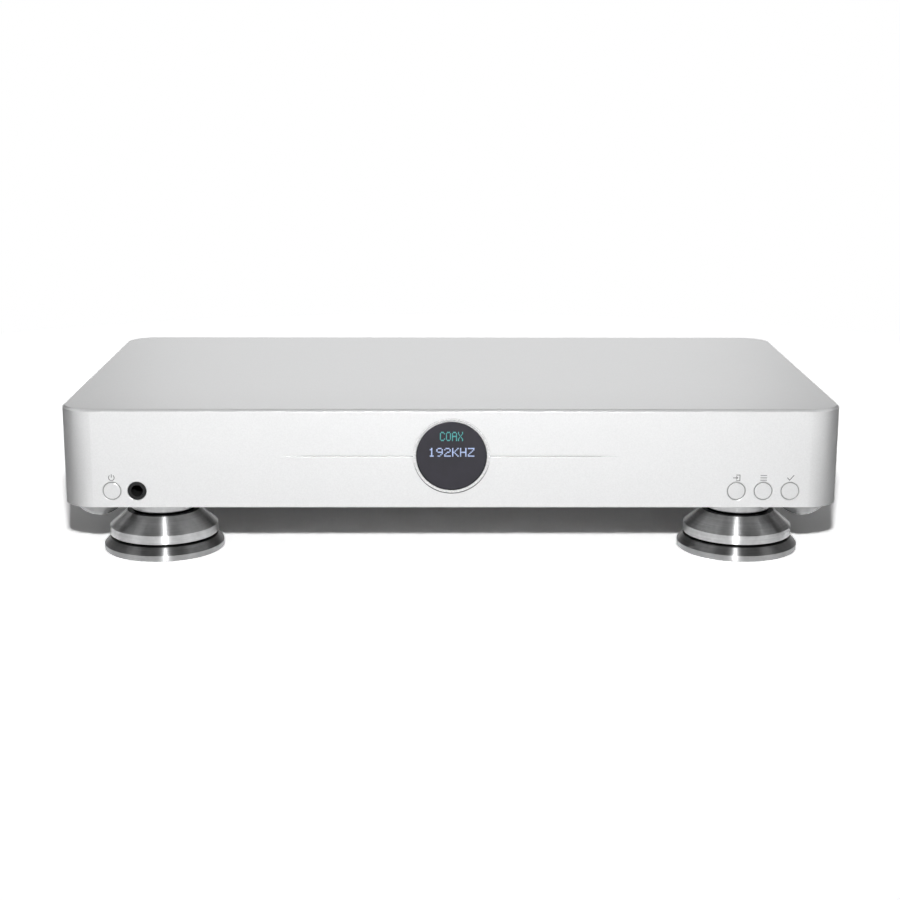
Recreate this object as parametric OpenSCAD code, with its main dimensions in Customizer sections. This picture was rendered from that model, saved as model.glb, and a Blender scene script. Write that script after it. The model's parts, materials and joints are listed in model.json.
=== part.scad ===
// Desktop digital-to-analogue converter standing on four turned isolation feet.
// Millimetres, +Z up. The origin is on the floor under the middle of the case and the front faces -Y.

/* [Case] */
// Width of the machined case
body_w = 430; // [410:1:460]
// Depth of the machined case, front to back
body_d = 240; // [230:1:290]
// Height of the machined case without its feet
body_h = 55; // [54:0.5:70]
// Radius of the upright corners
corner_r = 18; // [16:0.5:24]
// Bevel around the top face
edge_chamfer = 1.3; // [0.5:0.1:2.5]
// Thickness of the front wall
front_wall = 6; // [5:0.5:8]
// Thickness of the side walls
side_wall = 5; // [4:0.5:7]
// Thickness of the top wall
top_wall = 3.5; // [2.5:0.5:4.5]
// Radius of the milled corners inside the case
cavity_r = 8; // [4:0.5:12]

/* [Bottom plate] */
// Thickness of the bottom plate
bottom_t = 3; // [2:0.5:4]
// Width of the case wall that frames the bottom plate
bottom_lip = 2.5; // [1.5:0.5:3.5]
// Gap around the bottom plate
bottom_gap = 0.2; // [0.1:0.05:0.5]
// Place of the bottom screws on the front and rear walls, from the middle
bottom_screw_x = 122; // [115:1:130]
// Place of the bottom screws on the side walls, from the middle
bottom_screw_y = 50; // [40:1:60]
// Diameter of the screw bosses inside the case
boss_d = 9; // [8:0.5:10]
// Height of the screw bosses inside the case
boss_h = 6; // [5:0.5:7]
// Length of a vent slot
vent_l = 52; // [30:1:60]
// Width of a vent slot
vent_w = 2.6; // [1.5:0.1:3.5]
// Distance between vent slots
vent_pitch = 7; // [6:0.5:8]
// Number of vent slots in a group
vent_count = 6; // [3:1:6]

/* [Rear panel] */
// How far the rear panel lies inside the rear edge
rear_recess = 9; // [8.5:0.5:12]
// Thickness of the rear panel
panel_t = 2; // [1.5:0.5:3]
// Thickness of the ledge that carries the rear panel
ledge_t = 3; // [2:0.5:5]
// Width of the ledge that carries the rear panel
ledge_w = 6; // [5:0.5:6]
// Distance from the side of the case to the rear recess
rear_margin = 16; // [12:0.5:20]
// Distance from the top and underside of the case to the rear recess
rear_sill = 5.5; // [5:0.5:6]
// Radius of the corners of the rear recess
recess_r = 3; // [2:0.5:4]
// Gap around the rear panel and around each socket
panel_gap = 0.3; // [0.1:0.05:0.5]

/* [Display] */
// Height of the display's middle above the underside of the case
display_z = 28.8; // [27.5:0.1:30]
// Diameter of the glass that shows
window_d = 39; // [34:0.5:40]
// Diameter of the bezel ring
bezel_d = 42; // [41.5:0.1:42.5]
// Depth of the bezel's sloping face
bezel_slope = 1.2; // [0.6:0.1:1.4]
// Width of the bezel's flat front rim
bezel_rim = 0.4; // [0.3:0.1:0.6]
// Gap around the bezel ring
bezel_gap = 0.15; // [0.1:0.05:0.3]
// Thickness of the flange behind the front wall
bezel_flange_t = 1.2; // [1:0.1:1.6]
// How far the flange stands out beyond the ring
bezel_flange_w = 1.2; // [0.8:0.1:1.4]
// How far the rim of the window sits behind the bezel's lip
window_lip = 0.6; // [0.4:0.1:0.8]
// Side of the square display panel
screen_w = 34; // [28:0.5:38]
// Thickness of the display panel
screen_t = 1.6; // [1.2:0.1:2]
// Width of the display board
screen_board_w = 46; // [40:0.5:52]
// Height of the display board
screen_board_h = 36; // [34:0.5:38]
// Width of the pocket behind the display
screen_pocket_w = 56; // [54:0.5:60]
// Height of the pads under the display bracket
bracket_pad_h = 0.9; // [0.5:0.1:1.5]
// Diameter of the pads under the display bracket
bracket_pad_d = 8; // [7:0.5:9]
// Height of the display bracket
bracket_h = 12; // [8:0.5:13]
// Thickness of the display bracket
bracket_t = 1.5; // [1:0.1:2.5]
// Reach of the fine line on the front, from the middle
line_reach = 92; // [60:1:110]
// Radius of the fine line's round section
line_r = 0.28; // [0.15:0.01:0.5]
// Length over which the fine line runs out
line_taper = 14; // [6:1:30]

/* [Keys] */
// Height of the keys and the headphone socket above the underside of the case
control_z = 9.2; // [9:0.1:11]
// Distance from the side of the case to the outer key
key_inset = 28.5; // [27:0.5:32]
// Distance between neighbouring keys
key_pitch = 14.8; // [14:0.1:17]
// Diameter of a key cap
key_d = 9.4; // [7:0.1:9.6]
// Gap around a key cap
key_gap = 0.35; // [0.2:0.05:0.5]
// Bevel of a key cap and of the holes in the front
key_bevel = 0.3; // [0.1:0.05:0.5]
// How far a key travels
key_travel = 0.5; // [0.3:0.1:0.8]
// Width of the ears that hold a key behind the front wall
key_ear_w = 12; // [11.5:0.1:12.5]
// Height of the ears that hold a key behind the front wall
key_ear_h = 6; // [4:0.5:8]
// Thickness of the ears that hold a key behind the front wall
key_ear_t = 1.2; // [0.8:0.1:2]
// Gap between a key's ears and the front wall
key_rest_gap = 0.1; // [0.05:0.05:0.3]
// Diameter of a key's stem
key_stem_d = 4; // [3:0.5:5]
// Length of a key's stem
key_stem_l = 1.5; // [1:0.1:3]
// Side of a key switch
switch_w = 6; // [5:0.5:6.5]
// Depth of a key switch
switch_t = 3.5; // [3:0.1:5]
// Diameter of a switch plunger
plunger_d = 3.4; // [2.5:0.1:4]
// How far a plunger stands out of its switch
plunger_out = 1.4; // [1.2:0.1:2]
// How far a plunger reaches into its switch
plunger_in = 1.2; // [0.8:0.1:1.6]
// Gap around a switch plunger
plunger_gap = 0.15; // [0.1:0.05:0.3]
// Height of the key boards above the key row
key_board_up = 19; // [17:0.5:22]
// Gap between the key boards and the bottom plate
key_board_lift = 1; // [0.5:0.1:2]
// Height of the key board posts above the key row
key_post_z = 13; // [11:0.5:14]
// Diameter of the key board posts
key_post_d = 6; // [5:0.5:7]

/* [Headphone socket] */
// Distance from the power key to the headphone socket
jack_pitch = 13.7; // [13.5:0.1:16]
// Bore of the headphone socket for a 6.35 mm plug
jack_bore_d = 6.5; // [6.4:0.05:6.8]
// Diameter of the socket's nose in the front wall
jack_nose_d = 10; // [9:0.1:11]
// Gap around the socket's nose
jack_gap = 0.15; // [0.1:0.05:0.3]
// How far the nose lies behind the front face
jack_sink = 0.3; // [0:0.05:0.8]
// Depth of the bore from the nose
jack_bore_l = 32; // [28:0.5:36]
// Width of the socket's body
jack_body_w = 13; // [11.5:0.5:13.5]
// Height of the socket's body above the bore's axis
jack_body_up = 6; // [5:0.5:8]
// Thickness of the wall behind the bore
jack_back = 2; // [1.5:0.5:4]
// Gap between the socket's body and the bottom plate
jack_lift = 0.2; // [0.1:0.1:0.5]

/* [Isolation feet] */
// Distance from the side of the case to a foot's axis
foot_side = 51; // [45:0.5:60]
// Distance from the front and rear of the case to a foot's axis
foot_inset = 35; // [34.5:0.5:45]
// Diameter of a foot's base
foot_base_d = 68; // [60:0.5:69]
// Height of the base's straight band
foot_base_h = 3.5; // [2:0.1:6]
// Height of the base's sloping shoulder
foot_shoulder_h = 3.9; // [2:0.1:6]
// Diameter of the upper ring
foot_ring_d = 61; // [52:0.5:64]
// Height of the upper ring's straight band
foot_ring_h = 5.1; // [3:0.1:8]
// Height of the damper that shows as a dark gap
foot_damper_h = 1.5; // [1:0.1:3]
// How far the damper lies inside the ring
foot_damper_in = 2.2; // [1:0.1:4]
// Bore of the damper
foot_damper_bore = 20; // [14:0.5:30]
// Height of the cone
foot_cone_h = 8.6; // [5:0.1:12]
// Diameter of the cone at its top
foot_cone_d = 41; // [38:0.5:44]
// Height of the collar that shows as a dark gap
foot_collar_h = 1.3; // [0.8:0.1:2.5]
// Diameter of the collar
foot_collar_d = 35; // [30:0.5:36]
// Diameter of the cap under the case
foot_cap_d = 37; // [32:0.5:37.5]
// Height of the cap under the case
foot_cap_h = 8.1; // [5:0.1:14]
// Bevel at the foot's lower and upper rims
foot_bevel = 0.5; // [0.2:0.1:1]
// Diameter of the stud that holds the foot
foot_stud_d = 6; // [5:0.5:8]
// How far the stud reaches into the cone
foot_stud_in = 8; // [5:0.5:9]

/* [Corner feet] */
// Distance of a corner foot's middle from the case's sides
dome_inset = 18.5; // [18:0.5:26]
// Radius of the dome of a corner foot
dome_r = 16; // [14:0.5:24]
// Height of a corner foot
dome_h = 8.7; // [6:0.1:10]
// Diameter of the recess for the corner foot's screw
dome_recess_d = 9; // [8.5:0.5:10]
// Depth of the recess for the corner foot's screw
dome_recess = 4; // [3:0.1:4.5]
// Diameter of the corner foot's screw
dome_screw_d = 4; // [3:0.5:5]
// Diameter of the screw's head
dome_head_d = 7.4; // [6.5:0.1:8]
// Height of the screw's head
dome_head_h = 2.4; // [2:0.1:2.8]

/* [Boards] */
// Thickness of every circuit board
board_t = 1.6; // [1:0.1:2]
// Height of the pillars under the main and power boards
pillar_h = 8; // [7.5:0.5:10]
// Width across the flats of a pillar
pillar_af = 5; // [4.5:0.5:6]
// Diameter of a pillar's spigot in the bottom plate
spigot_d = 4; // [3:0.5:4.5]
// Length of a pillar's spigot
spigot_l = 1.5; // [1:0.1:1.8]
// Distance from a board's edge to its pillars
pillar_edge = 6; // [5:0.5:8]
// Distance from the side wall to the boards
board_side = 15; // [10:0.5:20]
// Distance from the front face to the main board
main_front = 60; // [58:1:70]
// Distance from the rear ledge to the main board
main_rear = 2; // [1:0.5:3]
// Distance from the main board's rear edge to its rear pillars
main_pillar_rear = 24; // [22:0.5:30]
// Gap between the transformer and the boards beside it
mains_gap = 8; // [6:0.5:10]
// Distance from the rear ledge to the power board
power_rear = 24; // [22:0.5:30]
// Reach of the headphone board beyond the socket
phones_board_w = 26; // [24:0.5:30]
// Depth of the headphone board
phones_board_d = 44; // [43:0.5:48]

/* [Board parts] */
// Side of the signal processor
chip_w = 24; // [16:1:30]
// Height of the signal processor
chip_t = 2; // [1:0.1:3]
// Side of each converter chip
converter_w = 10; // [7:0.5:14]
// Distance between the converter chips
converter_pitch = 46; // [30:1:60]
// Side of the processor's heat sink
sink_w = 32; // [24:1:40]
// Height of the processor's heat sink
sink_h = 11; // [8:0.5:16]
// Thickness of the heat sinks' plates
sink_base_t = 2.5; // [2:0.5:4]
// Thickness of a fin
fin_t = 1.2; // [0.8:0.1:2]
// Number of fins on a heat sink
fin_count = 7; // [4:1:9]
// Diameter of a signal capacitor
audio_cap_d = 8; // [6:0.5:10]
// Height of a signal capacitor
audio_cap_h = 11.5; // [8:0.5:16]
// Distance between signal capacitors
audio_cap_pitch = 15; // [12:0.5:18]
// Number of signal capacitors in a row
audio_cap_count = 6; // [2:1:7]
// Diameter of a reservoir capacitor
store_cap_d = 18; // [14:0.5:20]
// Height of a reservoir capacitor
store_cap_h = 28; // [20:0.5:32]
// Distance between reservoir capacitors
store_cap_pitch = 21; // [20.5:0.5:22]
// Width of the regulators' heat sink
reg_sink_w = 64; // [50:1:70]
// Height of the regulators' heat sink
reg_sink_h = 24; // [20:0.5:30]
// Depth of the regulators' heat sink
reg_sink_d = 11; // [8:0.5:13]
// Width of a regulator
reg_w = 10; // [8:0.5:11]
// Height of a regulator's body
reg_h = 15; // [12:0.5:16]
// Thickness of a regulator
reg_t = 4.5; // [3:0.5:5]
// Height of a regulator's legs
reg_leg_h = 4; // [3:0.5:5]
// Width of a regulator's leg
reg_leg_w = 0.8; // [0.5:0.1:1.2]
// Distance between regulators
reg_pitch = 20; // [15:0.5:22]
// Thickness of a ribbon cable
ribbon_t = 0.8; // [0.5:0.1:1.2]
// Width of a ribbon cable
ribbon_w = 8; // [6:0.5:8.5]
// How far the key ribbons stand off their boards
ribbon_off = 3; // [2:0.5:5]

/* [Transformer] */
// Diameter of the transformer
coil_d = 84; // [70:1:88]
// Height of the transformer
coil_h = 31; // [26:0.5:33]
// Hole through the transformer
coil_hole_d = 26; // [20:0.5:34]
// Rounding of the transformer's edges
coil_r = 9; // [4:0.5:12]
// Distance from the side of the case to the transformer's axis
coil_side = 63; // [60:0.5:68]
// Distance from the front face to the transformer's axis
coil_front = 92; // [86:1:96]
// Thickness of the transformer's pads
coil_pad_t = 1.5; // [1:0.1:2]
// Diameter of the transformer's pads
coil_pad_d = 64; // [56:1:70]
// Thickness of the transformer's clamp
coil_clamp_t = 2; // [1.5:0.5:3]
// Diameter of the transformer's clamp
coil_clamp_d = 60; // [50:1:70]
// Diameter of the transformer's bolt
coil_bolt_d = 6; // [5:0.5:8]
// Diameter of the bolt's flat head
coil_head_d = 11; // [10:0.5:13]
// Height of the bolt's nut
coil_nut_h = 5; // [4:0.5:6]
// Width across the flats of the bolt's nut
coil_nut_af = 10; // [9:0.5:13]

/* [Mains inlet] */
// Distance from the side of the case to the mains inlet
inlet_side = 49; // [46:0.5:52]
// Width of the inlet's flange
inlet_flange_w = 49; // [47:0.5:50]
// Height of the inlet's flange
inlet_flange_h = 24; // [22:0.5:26]
// Thickness of the flanges on the rear panel
flange_t = 2.5; // [2:0.1:3]
// Width of the inlet's body
inlet_body_w = 27.5; // [26.5:0.1:28]
// Height of the inlet's body
inlet_body_h = 20; // [19:0.1:21]
// Width of the inlet's recess
inlet_w = 24.4; // [24:0.1:25]
// Height of the inlet's recess
inlet_h = 16.4; // [16:0.1:17]
// Cut corners of the inlet's recess
inlet_cut = 4.2; // [3:0.1:5]
// Depth of the inlet's recess
inlet_l = 16.5; // [15:0.1:17]
// Thickness of the wall behind the recess
inlet_back = 4; // [3:0.5:6]
// Distance between the inlet's screws
inlet_screw_pitch = 40; // [38:0.5:41]
// Thickness of an inlet pin
pin_t = 2; // [1.5:0.1:2.5]
// Height of an inlet pin
pin_h = 4; // [3:0.1:4.5]
// Distance of the outer pins from the middle
pin_x = 7; // [6:0.1:8]
// Height of the earth pin above the middle, and of the others below it
pin_z = 2; // [1.6:0.1:2.4]
// How far the pins stay inside the mouth
pin_sink = 4; // [2:0.5:6]
// Length of the solder tabs behind the inlet
pin_tab = 7; // [4:0.5:8]

/* [Mains switch and fuse] */
// Distance from the inlet to the mains switch
rocker_pitch = 36; // [34.5:0.5:38]
// Width of the switch's flange
rocker_flange_w = 15; // [14.5:0.1:16]
// Height of the switch's flange
rocker_flange_h = 21; // [20:0.1:23]
// Thickness of the wall around the rocker
rocker_wall = 1.4; // [1.2:0.1:1.6]
// Width of the rocker
rocker_w = 9.6; // [8:0.1:10]
// Half the height of the rocker
rocker_reach = 7.2; // [6.5:0.1:7.5]
// How far the rocker's tips stand out from its pivot
rocker_rise = 3; // [2.5:0.1:4]
// How far the hollow of the rocker's face stands out from its pivot
rocker_dip = 1.8; // [1.4:0.1:2.4]
// Thickness of the rocker behind its pivot
rocker_back = 2.6; // [2:0.1:3]
// Angle that the rocker swings through
rocker_swing = 20; // [12:1:22]
// Gap around the rocker
rocker_gap = 0.3; // [0.2:0.05:0.4]
// Diameter of the rocker's pivot pin
rocker_pin_d = 2.4; // [2:0.1:2.6]
// Depth of the switch behind the rear panel
rocker_body_l = 18; // [14:0.5:20]
// Distance from the mains switch to the fuse holder
fuse_pitch = 17; // [16.5:0.5:18]
// Diameter of the fuse holder's cap
fuse_cap_d = 15; // [14:0.5:15.5]
// Height of the fuse holder's cap
fuse_cap_h = 4; // [3:0.5:6]
// Diameter of the fuse holder's body
fuse_body_d = 12; // [11:0.5:13]
// Depth of the fuse holder behind the rear panel
fuse_body_l = 24; // [20:0.5:26]
// Width of the slot in the fuse holder's cap
fuse_slot_w = 1.6; // [1:0.1:2]
// Depth of the slot in the fuse holder's cap
fuse_slot_t = 1.5; // [1:0.1:2]

/* [Digital sockets] */
// Distance from the fuse holder to the USB socket
usb_pitch = 23; // [22:0.5:24]
// Distance between the other digital sockets
digital_pitch = 22; // [20:0.5:23]
// How far the digital sockets stand out of the rear panel
socket_out = 1; // [0.5:0.1:2]
// Width of the USB socket
usb_w = 12; // [11.5:0.1:12.5]
// Height of the USB socket
usb_h = 10.8; // [10.5:0.1:11.5]
// Length of the USB socket
usb_l = 16; // [14:0.5:18]
// Width of the USB socket's mouth
usb_mouth_w = 8.6; // [8.4:0.1:9]
// Height of the USB socket's mouth
usb_mouth_h = 7.9; // [7.7:0.1:8.2]
// Cut corners of the USB socket's mouth
usb_mouth_cut = 1.6; // [1:0.1:2]
// Width of the USB socket's tongue
usb_tongue_w = 5.5; // [5:0.1:5.6]
// Height of the USB socket's tongue
usb_tongue_h = 3.2; // [2.8:0.1:3.4]
// Depth of the USB socket's mouth
usb_mouth_l = 9; // [8:0.5:11]
// Width of the network socket
lan_w = 16; // [15.5:0.1:17]
// Height of the network socket
lan_h = 13.4; // [13:0.1:14]
// Length of the network socket
lan_l = 21; // [18:0.5:22]
// Width of the network socket's mouth
lan_mouth_w = 11.8; // [11.6:0.1:12]
// Height of the network socket's mouth
lan_mouth_h = 7.4; // [7:0.1:7.8]
// Height of the mouth's middle above the socket's middle
lan_mouth_up = 0.8; // [0.4:0.1:1]
// Width of the slot for the plug's latch
lan_latch_w = 6; // [5:0.1:6.5]
// Height of the slot for the plug's latch
lan_latch_h = 1.6; // [1.2:0.1:2]
// Depth of the network socket's mouth
lan_mouth_l = 13; // [11:0.5:14]
// Width of the optical socket
optical_w = 9.8; // [9.5:0.1:11]
// Height of the optical socket
optical_h = 10; // [9.5:0.1:11]
// Length of the optical socket
optical_l = 13.5; // [12:0.5:15]
// Side of the optical socket's mouth
optical_mouth = 6.2; // [6:0.1:6.6]
// Depth of the optical socket's mouth
optical_mouth_l = 9; // [8:0.5:10]

/* [Audio sockets] */
// Height of the phono sockets above the main board
phono_rise = 9; // [8:0.5:11]
// Distance from the side of the case to the outer phono socket
phono_side = 50; // [44:0.5:54]
// Distance between the phono outputs
phono_pitch = 27; // [20:0.5:30]
// Outer diameter of a phono shell
phono_d = 8.3; // [8.2:0.05:8.4]
// Bore of a phono shell
phono_bore_d = 6.6; // [6.4:0.1:7]
// How far a phono shell stands out of the rear panel
phono_l = 8; // [7:0.1:8.4]
// Diameter of a phono flange
phono_flange_d = 11.5; // [10.5:0.1:13]
// Thickness of a phono flange
phono_flange_t = 1.5; // [1:0.1:2]
// Gap around a phono insulator
phono_gap = 0.05; // [0.02:0.01:0.1]
// Diameter of the hole for the plug's centre pin
phono_hole_d = 3.3; // [3.2:0.1:3.8]
// How far the insulator stays inside the shell
phono_sink = 0.8; // [0.5:0.1:2]
// Width of a phono socket's body
phono_body_w = 10; // [9:0.5:12]
// Depth of a phono socket's body
phono_body_l = 12; // [10:0.5:14]
// Distance from the phono outputs to the balanced outputs
balanced_gap = 43; // [40:0.5:46]
// Distance between the balanced outputs
balanced_pitch = 40; // [36:0.5:42]
// Width of a balanced socket's flange
balanced_flange_w = 26; // [25:0.5:27]
// Height of a balanced socket's flange
balanced_flange_h = 31; // [30:0.5:31.5]
// Diameter of a balanced socket's barrel
balanced_barrel_d = 23; // [21:0.5:24]
// Diameter of a balanced socket's recess
balanced_bore_d = 16; // [15.8:0.1:16.6]
// Depth of a balanced socket's recess
balanced_l = 15; // [13:0.5:16]
// Thickness of the wall behind the recess
balanced_back = 5; // [4:0.5:6]
// Diameter of a balanced pin
balanced_pin_d = 2.4; // [2.2:0.1:2.6]
// Distance of the upper pins from the middle
balanced_pin_x = 3.8; // [3.4:0.1:4.2]
// Height of the upper pins above the middle
balanced_pin_up = 1.5; // [1.2:0.1:1.8]
// Depth of the lower pin below the middle
balanced_pin_down = 4.2; // [3.8:0.1:4.6]
// Length of the pins in the recess
balanced_pin_l = 12; // [9:0.5:13]
// Distance of the flange's screws from its edges
balanced_screw_edge = 3.6; // [3.4:0.1:4]
// Width of the foot under a balanced socket
balanced_foot_w = 14; // [10:0.5:18]

/* [Fasteners] */
// Diameter of the case, panel and board screws
screw_d = 3; // [2.5:0.5:3]
// Diameter of a flat screw head
flat_head_d = 5.6; // [5.2:0.1:5.8]
// Height of a flat screw head
flat_head_h = 1.5; // [1.2:0.1:1.6]
// Diameter of a round screw head
round_head_d = 5.4; // [5:0.1:5.6]
// Height of a round screw head
round_head_h = 2; // [1.5:0.1:2.4]
// Length of the bottom screws
bottom_screw_l = 8; // [6:0.5:8.5]
// Length of the rear panel's screws
panel_screw_l = 6; // [5.5:0.5:8]
// How far the board screws reach into their pillars
board_screw_in = 4.5; // [3:0.5:6]
// Diameter of the small screws behind the front wall
small_screw_d = 2; // [1.6:0.1:2.5]
// Diameter of the small screws' heads
small_head_d = 3.8; // [3.4:0.1:4.4]
// Height of the small screws' heads
small_head_h = 1.4; // [1:0.1:2]
// How far the small screws reach into the front wall's posts
small_screw_in = 4; // [3:0.5:5]
// Gap around every screw, stud and pin
thread_gap = 0.05; // [0.03:0.01:0.1]

/* [Hidden] */
$fn = 96;

// How far a cut runs past the face that it opens, and a boss into the wall that carries it
over = 1;

// Levels of the foot's pieces, from the floor to the underside of the case
damper_z = foot_base_h + foot_shoulder_h;
ring_z = damper_z + foot_damper_h;
cone_z = ring_z + foot_ring_h;
collar_z = cone_z + foot_cone_h;
cap_z = collar_z + foot_collar_h;
base = cap_z + foot_cap_h;

// Main planes of the case
deck = base + bottom_t;
lid_z = base + body_h;
front_y = -body_d / 2;
rear_y = body_d / 2;
inner_front_y = front_y + front_wall;
panel_y = rear_y - rear_recess;
panel_in_y = panel_y - panel_t;
inner_rear_y = panel_in_y - ledge_t;
inner_x = body_w / 2 - side_wall;
mid_z = base + body_h / 2;

// Rear recess, its panel and its ledge
recess_w = body_w - 2 * rear_margin;
recess_h = body_h - 2 * rear_sill;
panel_screw_at = concat(
    [for (x = [-1, 1], z = [-1, 1]) [x * (recess_w - ledge_w) / 2, mid_z + z * (recess_h - ledge_w) / 2]],
    [for (x = [-1, 1], z = [-1, 1]) [x * recess_w / 6, mid_z + z * (recess_h - ledge_w) / 2]]
);

// Feet and bottom screws
foot_at = [for (x = [-1, 1], y = [-1, 1]) [x * (body_w / 2 - foot_side), y * (body_d / 2 - foot_inset)]];
dome_at = [for (x = [-1, 1], y = [-1, 1]) [x * (body_w / 2 - dome_inset), y * (body_d / 2 - dome_inset)]];
boss_bite = boss_d / 2 - over / 2;
bottom_screw_at = concat(
    [for (x = [-1, 1]) [x * bottom_screw_x, inner_front_y + boss_bite]],
    [for (x = [-1, 1]) [x * bottom_screw_x, inner_rear_y - boss_bite]],
    [for (x = [-1, 1], y = [-1, 1]) [x * (inner_x - boss_bite), y * bottom_screw_y]]
);

// Display, from the front face inwards
display_level = base + display_z;
bracket_depth = front_wall + bracket_pad_h;
screen_board_depth = bracket_depth - board_t;
screen_depth = screen_board_depth - screen_t;
flange_depth = screen_depth - bezel_flange_t;
lip_depth = bezel_slope + bezel_rim;
bracket_pad_x = screen_pocket_w / 2 + bracket_pad_d / 2 + over;
bracket_w = 2 * bracket_pad_x + bracket_pad_d;

// Keys and their boards, from the front face inwards
key_level = base + control_z;
power_x = -body_w / 2 + key_inset;
select_x = body_w / 2 - key_inset;
menu_x = select_x - key_pitch;
source_x = menu_x - key_pitch;
key_hole_d = key_d + 2 * key_gap;
ear_depth = front_wall + key_rest_gap;
stem_depth = ear_depth + key_ear_t + key_stem_l;
switch_depth = stem_depth + plunger_out;
key_board_depth = switch_depth + switch_t;
key_board_z = [deck + key_board_lift, key_level + key_board_up];
left_board_x = [power_x - switch_w - pillar_edge, power_x + switch_w - over / 2];
right_board_x = [source_x - switch_w, select_x + switch_w + pillar_edge / 2];
left_posts = [left_board_x[0] + key_post_d / 2 + over, left_board_x[1] - key_post_d / 2 - over];
right_posts = [right_board_x[0] + key_post_d / 2 + over, right_board_x[1] - key_post_d / 2 - over];
key_post_at = [for (x = concat(left_posts, right_posts)) [x, key_level + key_post_z]];

// Headphone socket and its board
jack_x = power_x + jack_pitch;
jack_hole_d = jack_nose_d + 2 * jack_gap;
jack_end = jack_sink + jack_bore_l + jack_back;
jack_top = key_level + jack_body_up;
phones_board_x = [jack_x - jack_body_w / 2, jack_x + phones_board_w];
phones_board_y = [inner_front_y + over, inner_front_y + over + phones_board_d];

// Transformer
coil_x = body_w / 2 - coil_side;
coil_y = front_y + coil_front;
coil_z = deck + coil_pad_t;
clamp_z = coil_z + coil_h + coil_pad_t;

// Places along the rear panel
inlet_x = body_w / 2 - inlet_side;
rocker_x = inlet_x - rocker_pitch;
fuse_x = rocker_x - fuse_pitch;
usb_x = fuse_x - usb_pitch;
lan_x = usb_x - digital_pitch;
optical_x = lan_x - digital_pitch;
coax_x = optical_x - digital_pitch;
phono_out_x = [-body_w / 2 + phono_side, -body_w / 2 + phono_side + phono_pitch];
phono_at = concat([coax_x], phono_out_x);
balanced_at = [phono_out_x[1] + balanced_gap, phono_out_x[1] + balanced_gap + balanced_pitch];

// Boards on the bottom plate
board_z = deck + pillar_h;
board_top = board_z + board_t;
main_board_x = [board_side - inner_x, coil_x - coil_d / 2 - mains_gap];
main_board_y = [front_y + main_front, inner_rear_y - main_rear];
main_mid_x = (coax_x + balanced_at[1]) / 2;
power_board_x = [coil_x - coil_d / 2, inner_x - pillar_edge];
power_board_y = [coil_y + coil_d / 2 + mains_gap, inner_rear_y - power_rear];
phono_level = board_top + phono_rise;
phono_body_top = phono_level + phono_body_w / 2;
pillar_at = concat(
    [for (x = [main_board_x[0] + pillar_edge, main_mid_x, main_board_x[1] - pillar_edge],
          y = [main_board_y[0] + pillar_edge, main_board_y[1] - main_pillar_rear]) [x, y, board_z]],
    [for (x = [power_board_x[0] + pillar_edge, power_board_x[1] - pillar_edge],
          y = [power_board_y[0] + pillar_edge, power_board_y[1] - pillar_edge]) [x, y, board_z]],
    [for (y = [phones_board_y[0] + pillar_edge, phones_board_y[1] - pillar_edge])
          [phones_board_x[1] - pillar_edge, y, jack_top]],
    [[jack_x, phones_board_y[1] - pillar_edge / 2 - over / 2, jack_top]]
);

// Places of the parts on the main and power boards
chip_at = [main_mid_x + chip_w, (main_board_y[0] + main_board_y[1]) / 2];
converter_x = (main_board_x[0] + main_mid_x) / 2;
power_mid_x = (power_board_x[0] + power_board_x[1]) / 2;
power_spare = power_board_y[1] - power_board_y[0] - store_cap_d - reg_t - reg_sink_d;
power_margin = min(pillar_edge, power_spare / 3);
store_cap_y = power_board_y[0] + power_margin + store_cap_d / 2;
reg_sink_y = power_board_y[1] - power_margin - reg_sink_d;

// A size centred on a place, as its low and high ends
function about(middle, size) = [middle - size / 2, middle + size / 2];

// Box between low and high ends on each axis
module span_box(x, y, z)
    translate([x[0], y[0], z[0]])
        cube([x[1] - x[0], y[1] - y[0], z[1] - z[0]]);

// Flat outline drawn in x and z, carried from y[0] to y[1]
module across(y)
    translate([0, y[1], 0])
        rotate([90, 0, 0])
            linear_extrude(y[1] - y[0])
                children();

// Shape of revolution about a front-to-back axis, its own +Z running in from the front face
module from_front(x, z)
    translate([x, front_y, z])
        rotate([-90, 0, 0])
            children();

module rounded_rect(w, h, r) {
    square([w - 2 * r, h], center = true);
    square([w, h - 2 * r], center = true);
    for (x = [-1, 1], y = [-1, 1])
        translate([x * (w / 2 - r), y * (h / 2 - r)])
            circle(r);
}

// Rectangle with its two upper corners cut off
module cut_corner_rect(w, h, cut)
    polygon([[-w / 2, -h / 2], [w / 2, -h / 2], [w / 2, h / 2 - cut],
             [w / 2 - cut, h / 2], [cut - w / 2, h / 2], [-w / 2, h / 2 - cut]]);

module slab(w, d, h, r)
    linear_extrude(h)
        rounded_rect(w, d, r);

// Layer whose four sides and four round corners lean in by its own height
module bevel_layer(w, d, h, r) {
    for (x = [-1, 1], y = [-1, 1])
        translate([x * (w / 2 - r), y * (d / 2 - r), 0])
            cylinder(h = h, r1 = r, r2 = r - h);
    translate([r - w / 2, 0, 0])
        rotate([90, 0, 90])
            linear_extrude(w - 2 * r)
                polygon([[-d / 2, 0], [d / 2, 0], [d / 2 - h, h], [h - d / 2, h]]);
    translate([0, d / 2 - r, 0])
        rotate([90, 0, 0])
            linear_extrude(d - 2 * r)
                polygon([[-w / 2, 0], [w / 2, 0], [w / 2 - h, h], [h - w / 2, h]]);
}

module ring(outer_d, inner_d, h)
    difference() {
        cylinder(h = h, d = outer_d);
        translate([0, 0, -over])
            cylinder(h = h + 2 * over, d = inner_d);
    }

// Flat-headed screw, head face at z = 0 and shank along +Z; gap widens it into its hole
module flat_screw(length, gap = 0) {
    cylinder(h = length, d = screw_d + 2 * gap);
    cylinder(h = flat_head_h, d1 = flat_head_d + 2 * gap, d2 = screw_d + 2 * gap);
}

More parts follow.
